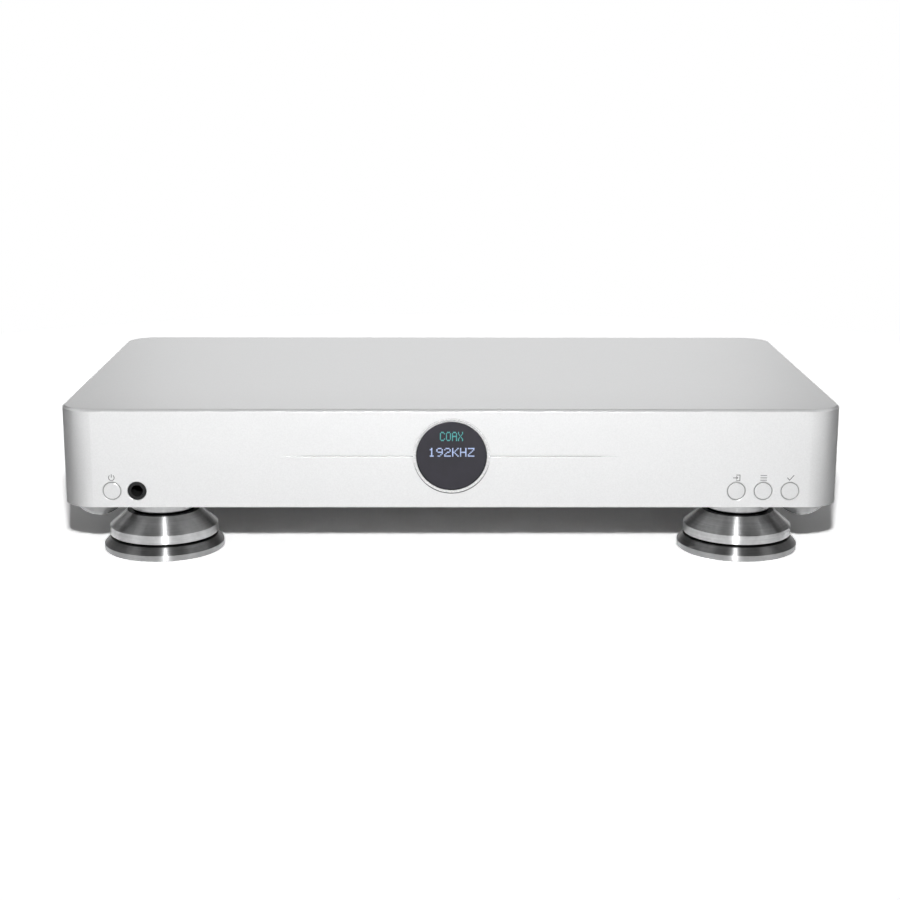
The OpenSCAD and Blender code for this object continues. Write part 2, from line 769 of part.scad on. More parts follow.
// Round-headed screw, seat of the head at z = 0 and shank along -Z
module round_screw(shank_d, length, head_d, head_h) {
    cylinder(h = head_h, d = head_d);
    translate([0, 0, -length])
        cylinder(h = length + head_h / 2, d = shank_d);
}

// Row of upright fins on a plate, spread over the width w
module fins(w, d, h) {
    step = (w - fin_t) / (fin_count - 1);
    for (i = [0 : fin_count - 1])
        span_box([i * step, i * step + fin_t], [0, d], [0, h]);
}

// Hole through the front wall with a bevelled rim
module front_hole(x, d)
    from_front(x, key_level) {
        translate([0, 0, -over])
            cylinder(h = front_wall + 2 * over, d = d);
        translate([0, 0, -key_bevel])
            cylinder(h = 2 * key_bevel, d1 = d + 4 * key_bevel, d2 = d);
    }

// Fine line that leaves the display to both sides and runs out to a point
module front_line()
    for (side = [-1, 1])
        translate([0, front_y, display_level])
            rotate([0, side * 90, 0]) {
                cylinder(h = line_reach - line_taper, r = line_r);
                translate([0, 0, line_reach - line_taper])
                    cylinder(h = line_taper, r1 = line_r, r2 = line_r / 10);
            }

module case_block() {
    translate([0, 0, base])
        slab(body_w, body_d, body_h - edge_chamfer, corner_r);
    translate([0, 0, lid_z - edge_chamfer])
        bevel_layer(body_w, body_d, edge_chamfer, corner_r);
}

module case_hollow() {
    translate([0, (inner_front_y + inner_rear_y) / 2, base - over])
        slab(2 * inner_x, inner_rear_y - inner_front_y, body_h - top_wall + over, cavity_r);
    translate([0, 0, base - over])
        slab(body_w - 2 * bottom_lip, body_d - 2 * bottom_lip, bottom_t + over, corner_r - bottom_lip);
    across([panel_in_y, rear_y + over])
        translate([0, mid_z])
            rounded_rect(recess_w, recess_h, recess_r);
    across([inner_rear_y - over, panel_y])
        translate([0, mid_z])
            square([recess_w - 2 * ledge_w, recess_h - 2 * ledge_w], center = true);
}

module case_bosses() {
    for (p = bottom_screw_at)
        translate([p[0], p[1], deck])
            cylinder(h = boss_h, d = boss_d);
    for (p = key_post_at)
        from_front(p[0], p[1])
            translate([0, 0, front_wall - over])
                cylinder(h = key_board_depth - front_wall + over, d = key_post_d);
    for (side = [-1, 1])
        from_front(side * bracket_pad_x, display_level)
            translate([0, 0, front_wall - over])
                cylinder(h = bracket_pad_h + over, d = bracket_pad_d);
}

module case_holes() {
    from_front(0, display_level)
        translate([0, 0, -over])
            cylinder(h = front_wall + 2 * over, d = bezel_d + 2 * bezel_gap);
    span_box(about(0, screen_pocket_w), [front_y + flange_depth, inner_front_y + over],
             [deck, lid_z - top_wall]);
    for (x = [power_x, source_x, menu_x, select_x])
        front_hole(x, key_hole_d);
    front_hole(jack_x, jack_hole_d);
    front_line();
    for (p = bottom_screw_at)
        translate([p[0], p[1], base])
            flat_screw(bottom_screw_l + over / 2, thread_gap);
    for (p = panel_screw_at)
        across([inner_rear_y - over, panel_y])
            translate(p)
                circle(d = screw_d + 2 * thread_gap);
    for (p = key_post_at)
        small_screw_hole(p[0], p[1], key_board_depth);
    for (side = [-1, 1])
        small_screw_hole(side * bracket_pad_x, display_level, bracket_depth);
}

// Hole for a small screw, ending at a depth behind the front face
module small_screw_hole(x, z, depth)
    from_front(x, z)
        translate([0, 0, depth - small_screw_in - thread_gap])
            cylinder(h = small_screw_in + over, d = small_screw_d + 2 * thread_gap);

module case_shell()
    color("#d2d3d5")
        difference() {
            union() {
                difference() {
                    case_block();
                    case_hollow();
                }
                case_bosses();
            }
            case_holes();
        }

// Group of round-ended slots, side by side along y
module vents(x, y)
    for (i = [0 : vent_count - 1])
        translate([x, y + (i - (vent_count - 1) / 2) * vent_pitch, base - over])
            slab(vent_l, vent_w, bottom_t + 2 * over, vent_w * 0.49);

module bottom_plate()
    color("#bfc0c2")
        difference() {
            translate([0, 0, base])
                slab(body_w - 2 * (bottom_lip + bottom_gap), body_d - 2 * (bottom_lip + bottom_gap),
                     bottom_t, corner_r - bottom_lip - bottom_gap);
            for (p = bottom_screw_at)
                translate([p[0], p[1], base])
                    flat_screw(bottom_t + over, thread_gap);
            for (p = foot_at)
                translate([p[0], p[1], base - over])
                    cylinder(h = bottom_t + 2 * over, d = foot_stud_d + 2 * thread_gap);
            for (p = dome_at)
                translate([p[0], p[1], base - over])
                    cylinder(h = bottom_t + 2 * over, d = dome_screw_d + 2 * thread_gap);
            for (p = pillar_at)
                translate([p[0], p[1], deck - spigot_l - thread_gap])
                    cylinder(h = spigot_l + over, d = spigot_d + 2 * thread_gap);
            translate([coil_x, coil_y, base])
                coil_bolt_shape(bottom_t + over, thread_gap);
            vents(chip_at[0], chip_at[1]);
            vents(power_mid_x, (power_board_y[0] + power_board_y[1]) / 2);
        }

module bottom_screws()
    color("#3a3b3d")
        for (p = bottom_screw_at)
            translate([p[0], p[1], base])
                flat_screw(bottom_screw_l);

module rear_panel()
    color("#b9babc")
        difference() {
            across([panel_in_y, panel_y])
                translate([0, mid_z])
                    rounded_rect(recess_w - 2 * panel_gap, recess_h - 2 * panel_gap, recess_r - panel_gap);
            across([panel_in_y - over, panel_y + over]) {
                translate([inlet_x, mid_z])
                    square([inlet_body_w + 2 * panel_gap, inlet_body_h + 2 * panel_gap], center = true);
                translate([rocker_x, mid_z])
                    square([rocker_body_w() + 2 * panel_gap, rocker_body_h() + 2 * panel_gap], center = true);
                translate([fuse_x, mid_z])
                    circle(d = fuse_body_d + 2 * panel_gap);
                socket_window(usb_x, usb_w, usb_h);
                socket_window(lan_x, lan_w, lan_h);
                socket_window(optical_x, optical_w, optical_h);
                for (x = phono_at)
                    translate([x, phono_level])
                        circle(d = phono_nose_d() + 2 * panel_gap);
                for (x = balanced_at)
                    translate([x, mid_z])
                        circle(d = balanced_barrel_d + 2 * panel_gap);
                for (p = flange_screw_at())
                    translate(p)
                        circle(d = screw_d + 2 * thread_gap);
            }
            for (p = panel_screw_at)
                rear_screw_at(p, panel_y, thread_gap);
        }

// Window in the rear panel for a socket that stands on the main board
module socket_window(x, w, h)
    translate([x, board_top + h / 2])
        square([w + 2 * panel_gap, h + 2 * panel_gap], center = true);

// Screws that hold the flanges of the inlet and the balanced sockets
function flange_screw_at() = concat(
    [for (side = [-1, 1]) [inlet_x + side * inlet_screw_pitch / 2, mid_z]],
    [for (x = balanced_at, side = [-1, 1])
        [x + side * (balanced_flange_w / 2 - balanced_screw_edge),
         mid_z + side * (balanced_flange_h / 2 - balanced_screw_edge)]]
);

// Flat screw driven in from the rear, its head face at the given plane
module rear_screw_at(p, plane_y, gap = 0)
    translate([p[0], plane_y, p[1]])
        rotate([90, 0, 0])
            flat_screw(panel_screw_l, gap);

module rear_screws()
    color("#2c2d2f") {
        for (p = panel_screw_at)
            rear_screw_at(p, panel_y);
        for (p = flange_screw_at())
            rear_screw_at(p, panel_y + flange_t);
    }

module corner_feet()
    color("#b4b5b7")
        for (p = dome_at)
            translate([p[0], p[1], base - dome_h])
                difference() {
                    intersection() {
                        translate([0, 0, dome_r])
                            sphere(r = dome_r);
                        cylinder(h = dome_h, r = dome_r);
                    }
                    translate([0, 0, -over])
                        cylinder(h = dome_recess + over, d = dome_recess_d);
                    cylinder(h = dome_h + over, d = dome_screw_d + 2 * thread_gap);
                }

module corner_foot_screws()
    color("#3a3b3d")
        for (p = dome_at)
            translate([p[0], p[1], base - dome_h + dome_recess])
                mirror([0, 0, 1])
                    round_screw(dome_screw_d, dome_h - dome_recess + bottom_t, dome_head_d, dome_head_h);

module isolator_bases()
    color("#8d8e90")
        for (p = foot_at)
            translate([p[0], p[1], 0])
                rotate_extrude()
                    polygon([[0, 0], [foot_base_d / 2 - foot_bevel, 0], [foot_base_d / 2, foot_bevel],
                             [foot_base_d / 2, foot_base_h], [foot_ring_d / 2, damper_z], [0, damper_z]]);

module isolator_dampers()
    color("#161617")
        for (p = foot_at)
            translate([p[0], p[1], damper_z])
                ring(foot_ring_d - 2 * foot_damper_in, foot_damper_bore, foot_damper_h);

module isolator_cones()
    color("#8d8e90")
        for (p = foot_at)
            translate([p[0], p[1], 0])
                difference() {
                    rotate_extrude()
                        polygon([[0, ring_z], [foot_ring_d / 2, ring_z], [foot_ring_d / 2, cone_z],
                                 [foot_cone_d / 2, collar_z], [0, collar_z]]);
                    stud_hole(collar_z - foot_stud_in - thread_gap);
                }

module isolator_collars()
    color("#161617")
        for (p = foot_at)
            translate([p[0], p[1], collar_z])
                ring(foot_collar_d, foot_stud_d + 2 * thread_gap, foot_collar_h);

module isolator_caps()
    color("#9a9b9d")
        for (p = foot_at)
            translate([p[0], p[1], 0])
                difference() {
                    rotate_extrude()
                        polygon([[0, cap_z], [foot_cap_d / 2 - foot_bevel, cap_z],
                                 [foot_cap_d / 2, cap_z + foot_bevel], [foot_cap_d / 2, base], [0, base]]);
                    stud_hole(cap_z - over);
                }

module stud_hole(z)
    translate([0, 0, z])
        cylinder(h = base + over - z, d = foot_stud_d + 2 * thread_gap);

module isolator_studs()
    color("#6f7072")
        for (p = foot_at)
            translate([p[0], p[1], collar_z - foot_stud_in])
                cylinder(h = deck - collar_z + foot_stud_in, d = foot_stud_d);

module display_bezel()
    color("#e3e4e6")
        difference() {
            from_front(0, display_level)
                rotate_extrude()
                    polygon([[bezel_d / 2, 0], [bezel_d / 2 - bezel_rim, 0], [window_d / 2, bezel_slope],
                             [window_d / 2, lip_depth], [window_d / 2 + window_lip, lip_depth],
                             [window_d / 2 + window_lip, screen_depth],
                             [bezel_d / 2 + bezel_flange_w, screen_depth],
                             [bezel_d / 2 + bezel_flange_w, flange_depth], [bezel_d / 2, flange_depth]]);
            front_line();
        }

module display_window()
    color("#1b1b1f")
        from_front(0, display_level)
            translate([0, 0, lip_depth])
                cylinder(h = screen_depth - lip_depth, d = window_d + 2 * (window_lip - thread_gap));

module display_panel()
    color("#101114")
        span_box(about(0, screen_w), [front_y + screen_depth, front_y + screen_board_depth],
                 about(display_level, screen_w));

module display_board()
    color("#24553b")
        span_box(about(0, screen_board_w), [front_y + screen_board_depth, front_y + bracket_depth],
                 about(display_level, screen_board_h));

module display_bracket()
    color("#a8a9ab")
        difference() {
            span_box(about(0, bracket_w), [front_y + bracket_depth, front_y + bracket_depth + bracket_t],
                     about(display_level, bracket_h));
            for (side = [-1, 1])
                small_screw_hole(side * bracket_pad_x, display_level, bracket_depth + bracket_t);
        }

// Key cap, the ears that hold it behind the front wall, and the stem that works its switch
module key(x)
    color("#d2d3d5") {
        from_front(x, key_level)
            rotate_extrude()
                polygon([[0, 0], [key_d / 2 - key_bevel, 0], [key_d / 2, key_bevel],
                         [key_d / 2, ear_depth + key_ear_t], [key_stem_d / 2, ear_depth + key_ear_t],
                         [key_stem_d / 2, stem_depth], [0, stem_depth]]);
        span_box(about(x, key_ear_w), [front_y + ear_depth, front_y + ear_depth + key_ear_t],
                 about(key_level, key_ear_h));
    }

module plunger(x)
    color("#1b1b1d")
        from_front(x, key_level)
            translate([0, 0, stem_depth])
                cylinder(h = plunger_out + plunger_in, d = plunger_d);

module power_key() key(power_x);
module source_key() key(source_x);
module menu_key() key(menu_x);
module select_key() key(select_x);
module power_plunger() plunger(power_x);
module source_plunger() plunger(source_x);
module menu_plunger() plunger(menu_x);
module select_plunger() plunger(select_x);

module key_switches()
    color("#2a2a2c")
        for (x = [power_x, source_x, menu_x, select_x])
            difference() {
                span_box(about(x, switch_w), [front_y + switch_depth, front_y + key_board_depth],
                         about(key_level, switch_w));
                from_front(x, key_level)
                    translate([0, 0, switch_depth - over])
                        cylinder(h = plunger_in + key_travel + plunger_gap + over,
                                 d = plunger_d + 2 * plunger_gap);
            }

module key_board(x, posts)
    color("#24553b")
        difference() {
            span_box(x, [front_y + key_board_depth, front_y + key_board_depth + board_t], key_board_z);
            for (post = posts)
                small_screw_hole(post, key_level + key_post_z, key_board_depth + board_t);
        }

module left_key_board() key_board(left_board_x, left_posts);
module right_key_board() key_board(right_board_x, right_posts);

// Small round-headed screw driven towards the front, its head seated at a depth
module small_screw(x, z, depth, grip)
    from_front(x, z)
        translate([0, 0, depth])
            round_screw(small_screw_d, small_screw_in + grip, small_head_d, small_head_h);

module front_board_screws()
    color("#77787a") {
        for (p = key_post_at)
            small_screw(p[0], p[1], key_board_depth + board_t, board_t);
        for (side = [-1, 1])
            small_screw(side * bracket_pad_x, display_level, bracket_depth + bracket_t, bracket_t);
    }

module headphone_jack()
    color("#17171a")
        difference() {
            union() {
                from_front(jack_x, key_level)
                    translate([0, 0, jack_sink])
                        cylinder(h = front_wall + over - jack_sink, d = jack_nose_d);
                span_box(about(jack_x, jack_body_w),
                         [inner_front_y + thread_gap, front_y + jack_end], [deck + jack_lift, jack_top]);
            }
            from_front(jack_x, key_level)
                translate([0, 0, jack_sink - over])
                    cylinder(h = jack_bore_l + over, d = jack_bore_d);
        }

// Circuit board lying flat, with a screw hole over each of its pillars
module flat_board(x, y, z)
    color("#24553b")
        difference() {
            span_box(x, y, [z, z + board_t]);
            for (p = pillar_at)
                translate([p[0], p[1], z - over])
                    cylinder(h = board_t + 2 * over, d = screw_d + 2 * thread_gap);
        }

module headphone_board() flat_board(phones_board_x, phones_board_y, jack_top);
module main_board() flat_board(main_board_x, main_board_y, board_z);
module power_board() flat_board(power_board_x, power_board_y, board_z);

module main_board_chips()
    color("#1a1a1c") {
        span_box(about(chip_at[0], chip_w), about(chip_at[1], chip_w), [board_top, board_top + chip_t]);
        for (side = [-1, 1])
            span_box(about(converter_x + side * converter_pitch / 2, converter_w),
                     about(chip_at[1], converter_w), [board_top, board_top + chip_t]);
    }

module processor_heatsink()
    color("#2b2c2e")
        translate([chip_at[0] - sink_w / 2, chip_at[1] - sink_w / 2, board_top + chip_t]) {
            cube([sink_w, sink_w, sink_base_t]);
            fins(sink_w, sink_w, sink_h);
        }

module audio_capacitors()
    color("#2f4a7a")
        for (i = [0 : audio_cap_count - 1], side = [-1, 1])
            translate([converter_x + (i - (audio_cap_count - 1) / 2) * audio_cap_pitch,
                       chip_at[1] + side * (converter_w + audio_cap_d), board_top])
                cylinder(h = audio_cap_h, d = audio_cap_d);

module reservoir_capacitors()
    color("#26282c")
        for (i = [-1, 0, 1])
            translate([power_mid_x + i * store_cap_pitch, store_cap_y, board_top])
                cylinder(h = store_cap_h, d = store_cap_d);

module regulator_heatsink()
    color("#2b2c2e")
        translate([power_mid_x - reg_sink_w / 2, reg_sink_y, board_top]) {
            cube([reg_sink_w, sink_base_t, reg_sink_h]);
            fins(reg_sink_w, reg_sink_d, reg_sink_h);
        }

module voltage_regulators()
    color("#1a1a1c")
        for (i = [-1, 0, 1])
            translate([power_mid_x + i * reg_pitch, reg_sink_y - reg_t, board_top]) {
                span_box(about(0, reg_w), [0, reg_t], [reg_leg_h, reg_leg_h + reg_h]);
                for (leg = [-1, 0, 1])
                    span_box(about(leg * reg_w / 4, reg_leg_w), about(reg_t / 2, reg_leg_w),
                             [0, reg_leg_h + reg_leg_w]);
            }

module mains_transformer()
    color("#c9a94e")
        translate([coil_x, coil_y, coil_z + coil_h / 2])
            rotate_extrude()
                translate([(coil_d + coil_hole_d) / 4, 0])
                    rounded_rect((coil_d - coil_hole_d) / 2, coil_h, coil_r);

module transformer_pads()
    color("#1b1b1c")
        for (z = [deck, coil_z + coil_h])
            translate([coil_x, coil_y, z])
                ring(coil_pad_d, coil_bolt_d + 2 * thread_gap, coil_pad_t);

module transformer_clamp()
    color("#8f9092")
        translate([coil_x, coil_y, clamp_z])
            ring(coil_clamp_d, coil_bolt_d + 2 * thread_gap, coil_clamp_t);

// Bolt with a flat head at z = 0 and its shank along +Z; gap widens it into its hole
module coil_bolt_shape(length, gap = 0) {
    head_h = (coil_head_d - coil_bolt_d) / 2;
    cylinder(h = length, d = coil_bolt_d + 2 * gap);
    cylinder(h = head_h, d1 = coil_head_d + 2 * gap, d2 = coil_bolt_d + 2 * gap);
}

module transformer_bolt()
    color("#a9aaac") {
        nut_z = clamp_z + coil_clamp_t;
        translate([coil_x, coil_y, base])
            coil_bolt_shape(nut_z + coil_nut_h - base);
        translate([coil_x, coil_y, nut_z])
            difference() {
                cylinder(h = coil_nut_h, d = coil_nut_af / cos(30), $fn = 6);
                translate([0, 0, -over])
                    cylinder(h = coil_nut_h + 2 * over, d = coil_bolt_d + 2 * thread_gap);
            }
    }

module board_pillars()
    color("#c2a45a")
        for (p = pillar_at)
            difference() {
                union() {
                    translate([p[0], p[1], deck])
                        cylinder(h = p[2] - deck, d = pillar_af / cos(30), $fn = 6);
                    translate([p[0], p[1], deck - spigot_l])
                        cylinder(h = spigot_l + over, d = spigot_d);
                }
                translate([p[0], p[1], p[2] - board_screw_in - thread_gap])
                    cylinder(h = board_screw_in + over, d = screw_d + 2 * thread_gap);
            }

module board_screws()
    color("#77787a")
        for (p = pillar_at)
            translate([p[0], p[1], p[2] + board_t])
                round_screw(screw_d, board_t + board_screw_in, round_head_d, round_head_h);

// Flat cables standing on edge, from the boards behind the front wall to the main board
module ribbon_cables()
    color("#9b9da0") {
        z = [board_top, board_top + ribbon_w];
        end_y = main_board_y[0] + pillar_edge - round_head_d / 2 - over;
        back_y = front_y + key_board_depth + board_t;
        turn_y = back_y + ribbon_off;
        left_x = (left_board_x[0] + left_board_x[1]) / 2;
        right_x = main_board_x[1] - pillar_edge;
        start_x = source_x + key_pitch / 2;
        span_box(about(screen_board_w / 3, ribbon_t), [front_y + bracket_depth, end_y], z);
        span_box(about(left_x, ribbon_t), [back_y, end_y], z);
        span_box(about(start_x, ribbon_t), [back_y, turn_y], z);
        span_box([right_x, start_x + ribbon_t / 2], [turn_y - ribbon_t, turn_y], z);
        span_box([right_x, right_x + ribbon_t], [turn_y - ribbon_t, end_y], z);
    }

module mains_inlet()
    color("#1a1a1b")
        difference() {
            union() {
                across([panel_y, panel_y + flange_t])
                    translate([inlet_x, mid_z])
                        square([inlet_flange_w, inlet_flange_h], center = true);
                span_box(about(inlet_x, inlet_body_w), [inlet_back_y(), panel_y + flange_t],
                         about(mid_z, inlet_body_h));
            }
            across([panel_y + flange_t - inlet_l, panel_y + flange_t + over])
                translate([inlet_x, mid_z])
                    cut_corner_rect(inlet_w, inlet_h, inlet_cut);
            across([inlet_back_y() - over, panel_y])
                for (p = inlet_pin_at())
                    translate(p)
                        square([pin_t + 2 * thread_gap, pin_h + 2 * thread_gap], center = true);
            for (p = flange_screw_at())
                rear_screw_at(p, panel_y + flange_t, thread_gap);
        }

function inlet_back_y() = panel_y + flange_t - inlet_l - inlet_back;
function inlet_pin_at() = [[inlet_x - pin_x, mid_z - pin_z], [inlet_x + pin_x, mid_z - pin_z],
                           [inlet_x, mid_z + pin_z]];

module inlet_pins()
    color("#b9bcc0")
        for (p = inlet_pin_at())
            across([inlet_back_y() - pin_tab, panel_y + flange_t - pin_sink])
                translate(p)
                    square([pin_t, pin_h], center = true);

// Outside of the mains switch where it passes through the rear panel
function rocker_body_w() = rocker_w + 2 * (rocker_gap + rocker_wall);
function rocker_body_h() = 2 * (rocker_tip_r() + rocker_gap + rocker_wall);
function rocker_tip_r() = sqrt(rocker_reach * rocker_reach + rocker_rise * rocker_rise);

module rocker_housing()
    color("#18181a")
        difference() {
            union() {
                across([panel_y, panel_y + flange_t])
                    translate([rocker_x, mid_z])
                        square([rocker_flange_w, rocker_flange_h], center = true);
                span_box(about(rocker_x, rocker_body_w()), [panel_y - rocker_body_l, panel_y + flange_t],
                         about(mid_z, rocker_body_h()));
            }
            span_box(about(rocker_x, rocker_w + 2 * rocker_gap),
                     [panel_y - rocker_tip_r() - rocker_gap, panel_y + flange_t + over],
                     about(mid_z, 2 * (rocker_tip_r() + rocker_gap)));
            rocker_pin(thread_gap);
        }

module rocker_pin(gap = 0)
    translate([rocker_x, panel_y, mid_z])
        rotate([0, 90, 0])
            cylinder(h = rocker_body_w() - rocker_wall + 2 * gap, d = rocker_pin_d + 4 * gap, center = true);

// Drawn with its upper half pressed in, which is the on position
module power_rocker()
    color("#232325") {
        translate([rocker_x - rocker_w / 2, panel_y, mid_z])
            rotate([rocker_swing / 2, 0, 0])
                rotate([90, 0, 90])
                    linear_extrude(rocker_w)
                        polygon([[-rocker_back, -rocker_reach], [rocker_rise, -rocker_reach], [rocker_dip, 0],
                                 [rocker_rise, rocker_reach], [-rocker_back, rocker_reach]]);
        rocker_pin();
    }

module fuse_holder()
    color("#18181a")
        difference() {
            union() {
                across([panel_y, panel_y + fuse_cap_h])
                    translate([fuse_x, mid_z])
                        circle(d = fuse_cap_d);
                across([panel_y - fuse_body_l, panel_y + over])
                    translate([fuse_x, mid_z])
                        circle(d = fuse_body_d);
            }
            span_box(about(fuse_x, fuse_body_d), [panel_y + fuse_cap_h - fuse_slot_t, panel_y + fuse_cap_h + over],
                     about(mid_z, fuse_slot_w));
        }

// Body of a socket that stands on the main board and looks out of the rear panel
module socket_body(x, w, h, l)
    span_box(about(x, w), [panel_y + socket_out - l, panel_y + socket_out], [board_top, board_top + h]);

// Range of y for a mouth that goes in from the socket's face
function mouth_y(l) = [panel_y + socket_out - l, panel_y + socket_out + over];

module usb_socket()
    color("#c4c6c9") {
        middle = board_top + usb_h / 2;
        difference() {
            socket_body(usb_x, usb_w, usb_h, usb_l);
            across(mouth_y(usb_mouth_l))
                translate([usb_x, middle])
                    cut_corner_rect(usb_mouth_w, usb_mouth_h, usb_mouth_cut);
        }
        across([panel_y + socket_out - usb_mouth_l - over, panel_y])
            translate([usb_x, middle])
                square([usb_tongue_w, usb_tongue_h], center = true);
    }

module network_socket()
    color("#c4c6c9") {
        middle = board_top + lan_h / 2 + lan_mouth_up;
        difference() {
            socket_body(lan_x, lan_w, lan_h, lan_l);
            across(mouth_y(lan_mouth_l)) {
                translate([lan_x, middle])
                    square([lan_mouth_w, lan_mouth_h], center = true);
                translate([lan_x, middle - (lan_mouth_h + lan_latch_h) / 2])
                    square([lan_latch_w, lan_latch_h + over], center = true);
            }
        }
    }

module optical_socket()
    color("#19191b")
        difference() {
            socket_body(optical_x, optical_w, optical_h, optical_l);
            across(mouth_y(optical_mouth_l))
                translate([optical_x, board_top + optical_h / 2])
                    square(optical_mouth, center = true);
        }

function phono_nose_d() = phono_bore_d - 2 * phono_gap;

module phono_shells()
    color("#c8a95a")
        for (x = phono_at)
            difference() {
                union() {
                    across([panel_y, panel_y + phono_flange_t])
                        translate([x, phono_level])
                            circle(d = phono_flange_d);
                    across([panel_y, panel_y + phono_l])
                        translate([x, phono_level])
                            circle(d = phono_d);
                }
                across([panel_y - over, panel_y + phono_l + over])
                    translate([x, phono_level])
                        circle(d = phono_bore_d);
            }

module phono_bodies()
    color("#1c1c1e")
        for (x = phono_at)
            difference() {
                union() {
                    span_box(about(x, phono_body_w), [panel_in_y - phono_body_l, panel_in_y],
                             [board_top, phono_body_top]);
                    across([panel_in_y - over, panel_y + phono_l - phono_sink])
                        translate([x, phono_level])
                            circle(d = phono_nose_d());
                }
                across([panel_in_y - phono_body_l / 2, panel_y + phono_l])
                    translate([x, phono_level])
                        circle(d = phono_hole_d);
            }

function balanced_back_y() = panel_y + flange_t - balanced_l - balanced_back;
function balanced_pin_at(x) = [[x - balanced_pin_x, mid_z + balanced_pin_up],
                               [x + balanced_pin_x, mid_z + balanced_pin_up],
                               [x, mid_z - balanced_pin_down]];

module balanced_sockets()
    color("#1b1b1d")
        for (x = balanced_at)
            difference() {
                union() {
                    across([panel_y, panel_y + flange_t])
                        translate([x, mid_z])
                            rounded_rect(balanced_flange_w, balanced_flange_h, recess_r);
                    across([balanced_back_y(), panel_y + over])
                        translate([x, mid_z])
                            circle(d = balanced_barrel_d);
                    span_box(about(x, balanced_foot_w), [balanced_back_y(), panel_in_y - panel_gap],
                             [board_top, mid_z]);
                }
                across([panel_y + flange_t - balanced_l, panel_y + flange_t + over])
                    translate([x, mid_z])
                        circle(d = balanced_bore_d);
                across([balanced_back_y() - over, panel_y])
                    for (p = balanced_pin_at(x))
                        translate(p)
                            circle(d = balanced_pin_d + 2 * thread_gap);
                for (p = flange_screw_at())
                    rear_screw_at(p, panel_y + flange_t, thread_gap);
            }

module balanced_pins()
    color("#cbb06a")
        for (x = balanced_at, p = balanced_pin_at(x))
            across([balanced_back_y(), panel_y + flange_t - balanced_l + balanced_pin_l])
                translate(p)
                    circle(d = balanced_pin_d);

case_shell();
bottom_plate();
bottom_screws();
rear_panel();
rear_screws();
corner_feet();
corner_foot_screws();
isolator_bases();
isolator_dampers();
isolator_cones();
isolator_collars();
isolator_caps();
isolator_studs();
display_bezel();
display_window();
display_panel();
display_board();
display_bracket();
power_key();
source_key();
menu_key();
select_key();
power_plunger();
source_plunger();
menu_plunger();
select_plunger();
key_switches();
left_key_board();
right_key_board();
front_board_screws();
headphone_jack();
headphone_board();
main_board();
main_board_chips();
processor_heatsink();
audio_capacitors();
power_board();
reservoir_capacitors();
regulator_heatsink();
voltage_regulators();
mains_transformer();
transformer_pads();
transformer_clamp();
transformer_bolt();
board_pillars();
board_screws();
ribbon_cables();
mains_inlet();
inlet_pins();
rocker_housing();
power_rocker();
fuse_holder();
usb_socket();
network_socket();
optical_socket();
phono_shells();
phono_bodies();
balanced_sockets();
balanced_pins();
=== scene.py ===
# %% [markdown]
# # A desktop converter on turned feet
# The object is a flat hi-fi box, a digital-to-analogue converter. It has a round display, four flush keys
# and a headphone socket at the front, and stands on four turned steel feet. Its solids already exist at
# their real size. Blender adds what solids lack: finishes, printed signs, lit dots, eased edges and screw
# sockets. Everything is in metres, with +Z up and the front facing -Y.

# %% Load the solids
import json
import math

import bmesh
import bpy
from mathutils import Matrix, Vector


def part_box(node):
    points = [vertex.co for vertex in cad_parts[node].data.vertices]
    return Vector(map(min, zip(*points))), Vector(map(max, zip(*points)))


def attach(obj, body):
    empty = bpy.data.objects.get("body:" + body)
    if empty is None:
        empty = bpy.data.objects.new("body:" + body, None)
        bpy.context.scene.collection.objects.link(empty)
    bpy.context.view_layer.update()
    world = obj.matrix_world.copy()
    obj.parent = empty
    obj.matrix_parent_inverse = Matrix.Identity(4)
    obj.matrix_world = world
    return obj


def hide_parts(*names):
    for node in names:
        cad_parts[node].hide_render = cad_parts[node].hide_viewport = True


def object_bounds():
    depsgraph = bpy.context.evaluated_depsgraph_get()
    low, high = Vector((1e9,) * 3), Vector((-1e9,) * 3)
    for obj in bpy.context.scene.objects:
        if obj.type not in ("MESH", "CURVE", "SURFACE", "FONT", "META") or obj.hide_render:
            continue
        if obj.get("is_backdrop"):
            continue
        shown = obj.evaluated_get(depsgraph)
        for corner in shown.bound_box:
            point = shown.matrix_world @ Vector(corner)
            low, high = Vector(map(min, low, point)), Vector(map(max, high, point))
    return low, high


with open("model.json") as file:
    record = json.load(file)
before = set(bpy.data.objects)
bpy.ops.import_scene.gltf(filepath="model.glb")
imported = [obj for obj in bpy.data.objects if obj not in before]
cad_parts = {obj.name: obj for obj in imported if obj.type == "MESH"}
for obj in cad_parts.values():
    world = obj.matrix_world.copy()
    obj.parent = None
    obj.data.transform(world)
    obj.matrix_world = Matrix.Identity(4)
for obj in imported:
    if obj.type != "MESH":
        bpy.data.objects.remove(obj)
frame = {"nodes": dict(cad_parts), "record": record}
nodes = frame["nodes"]
scene = bpy.context.scene
scene.view_settings.view_transform = "Standard"
cad_low, cad_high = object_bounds()
mm = 0.001
print("solids", len(nodes), "size", [round(v / mm, 1) for v in cad_high - cad_low], "mm")

# %% [markdown]
# ## Wiring nodes
# Looks and light are made of nodes, in the room as on each piece. A few helpers add a node, join two
# sockets, calculate, move a value to another range or take a vector apart, so that the cells below stay
# short.

# %% Node helpers
def add_node(owner, kind, operation=None, **inputs):
    """A shader node with values on its sockets; an underscore in a name stands for a blank."""
    made = owner.node_tree.nodes.new("ShaderNode" + kind)
    if operation:
        made.operation = operation
    for socket, value in inputs.items():
        made.inputs[socket.replace("_", " ")].default_value = value
    return made


def wire(owner, source, target):
    owner.node_tree.links.new(source, target)


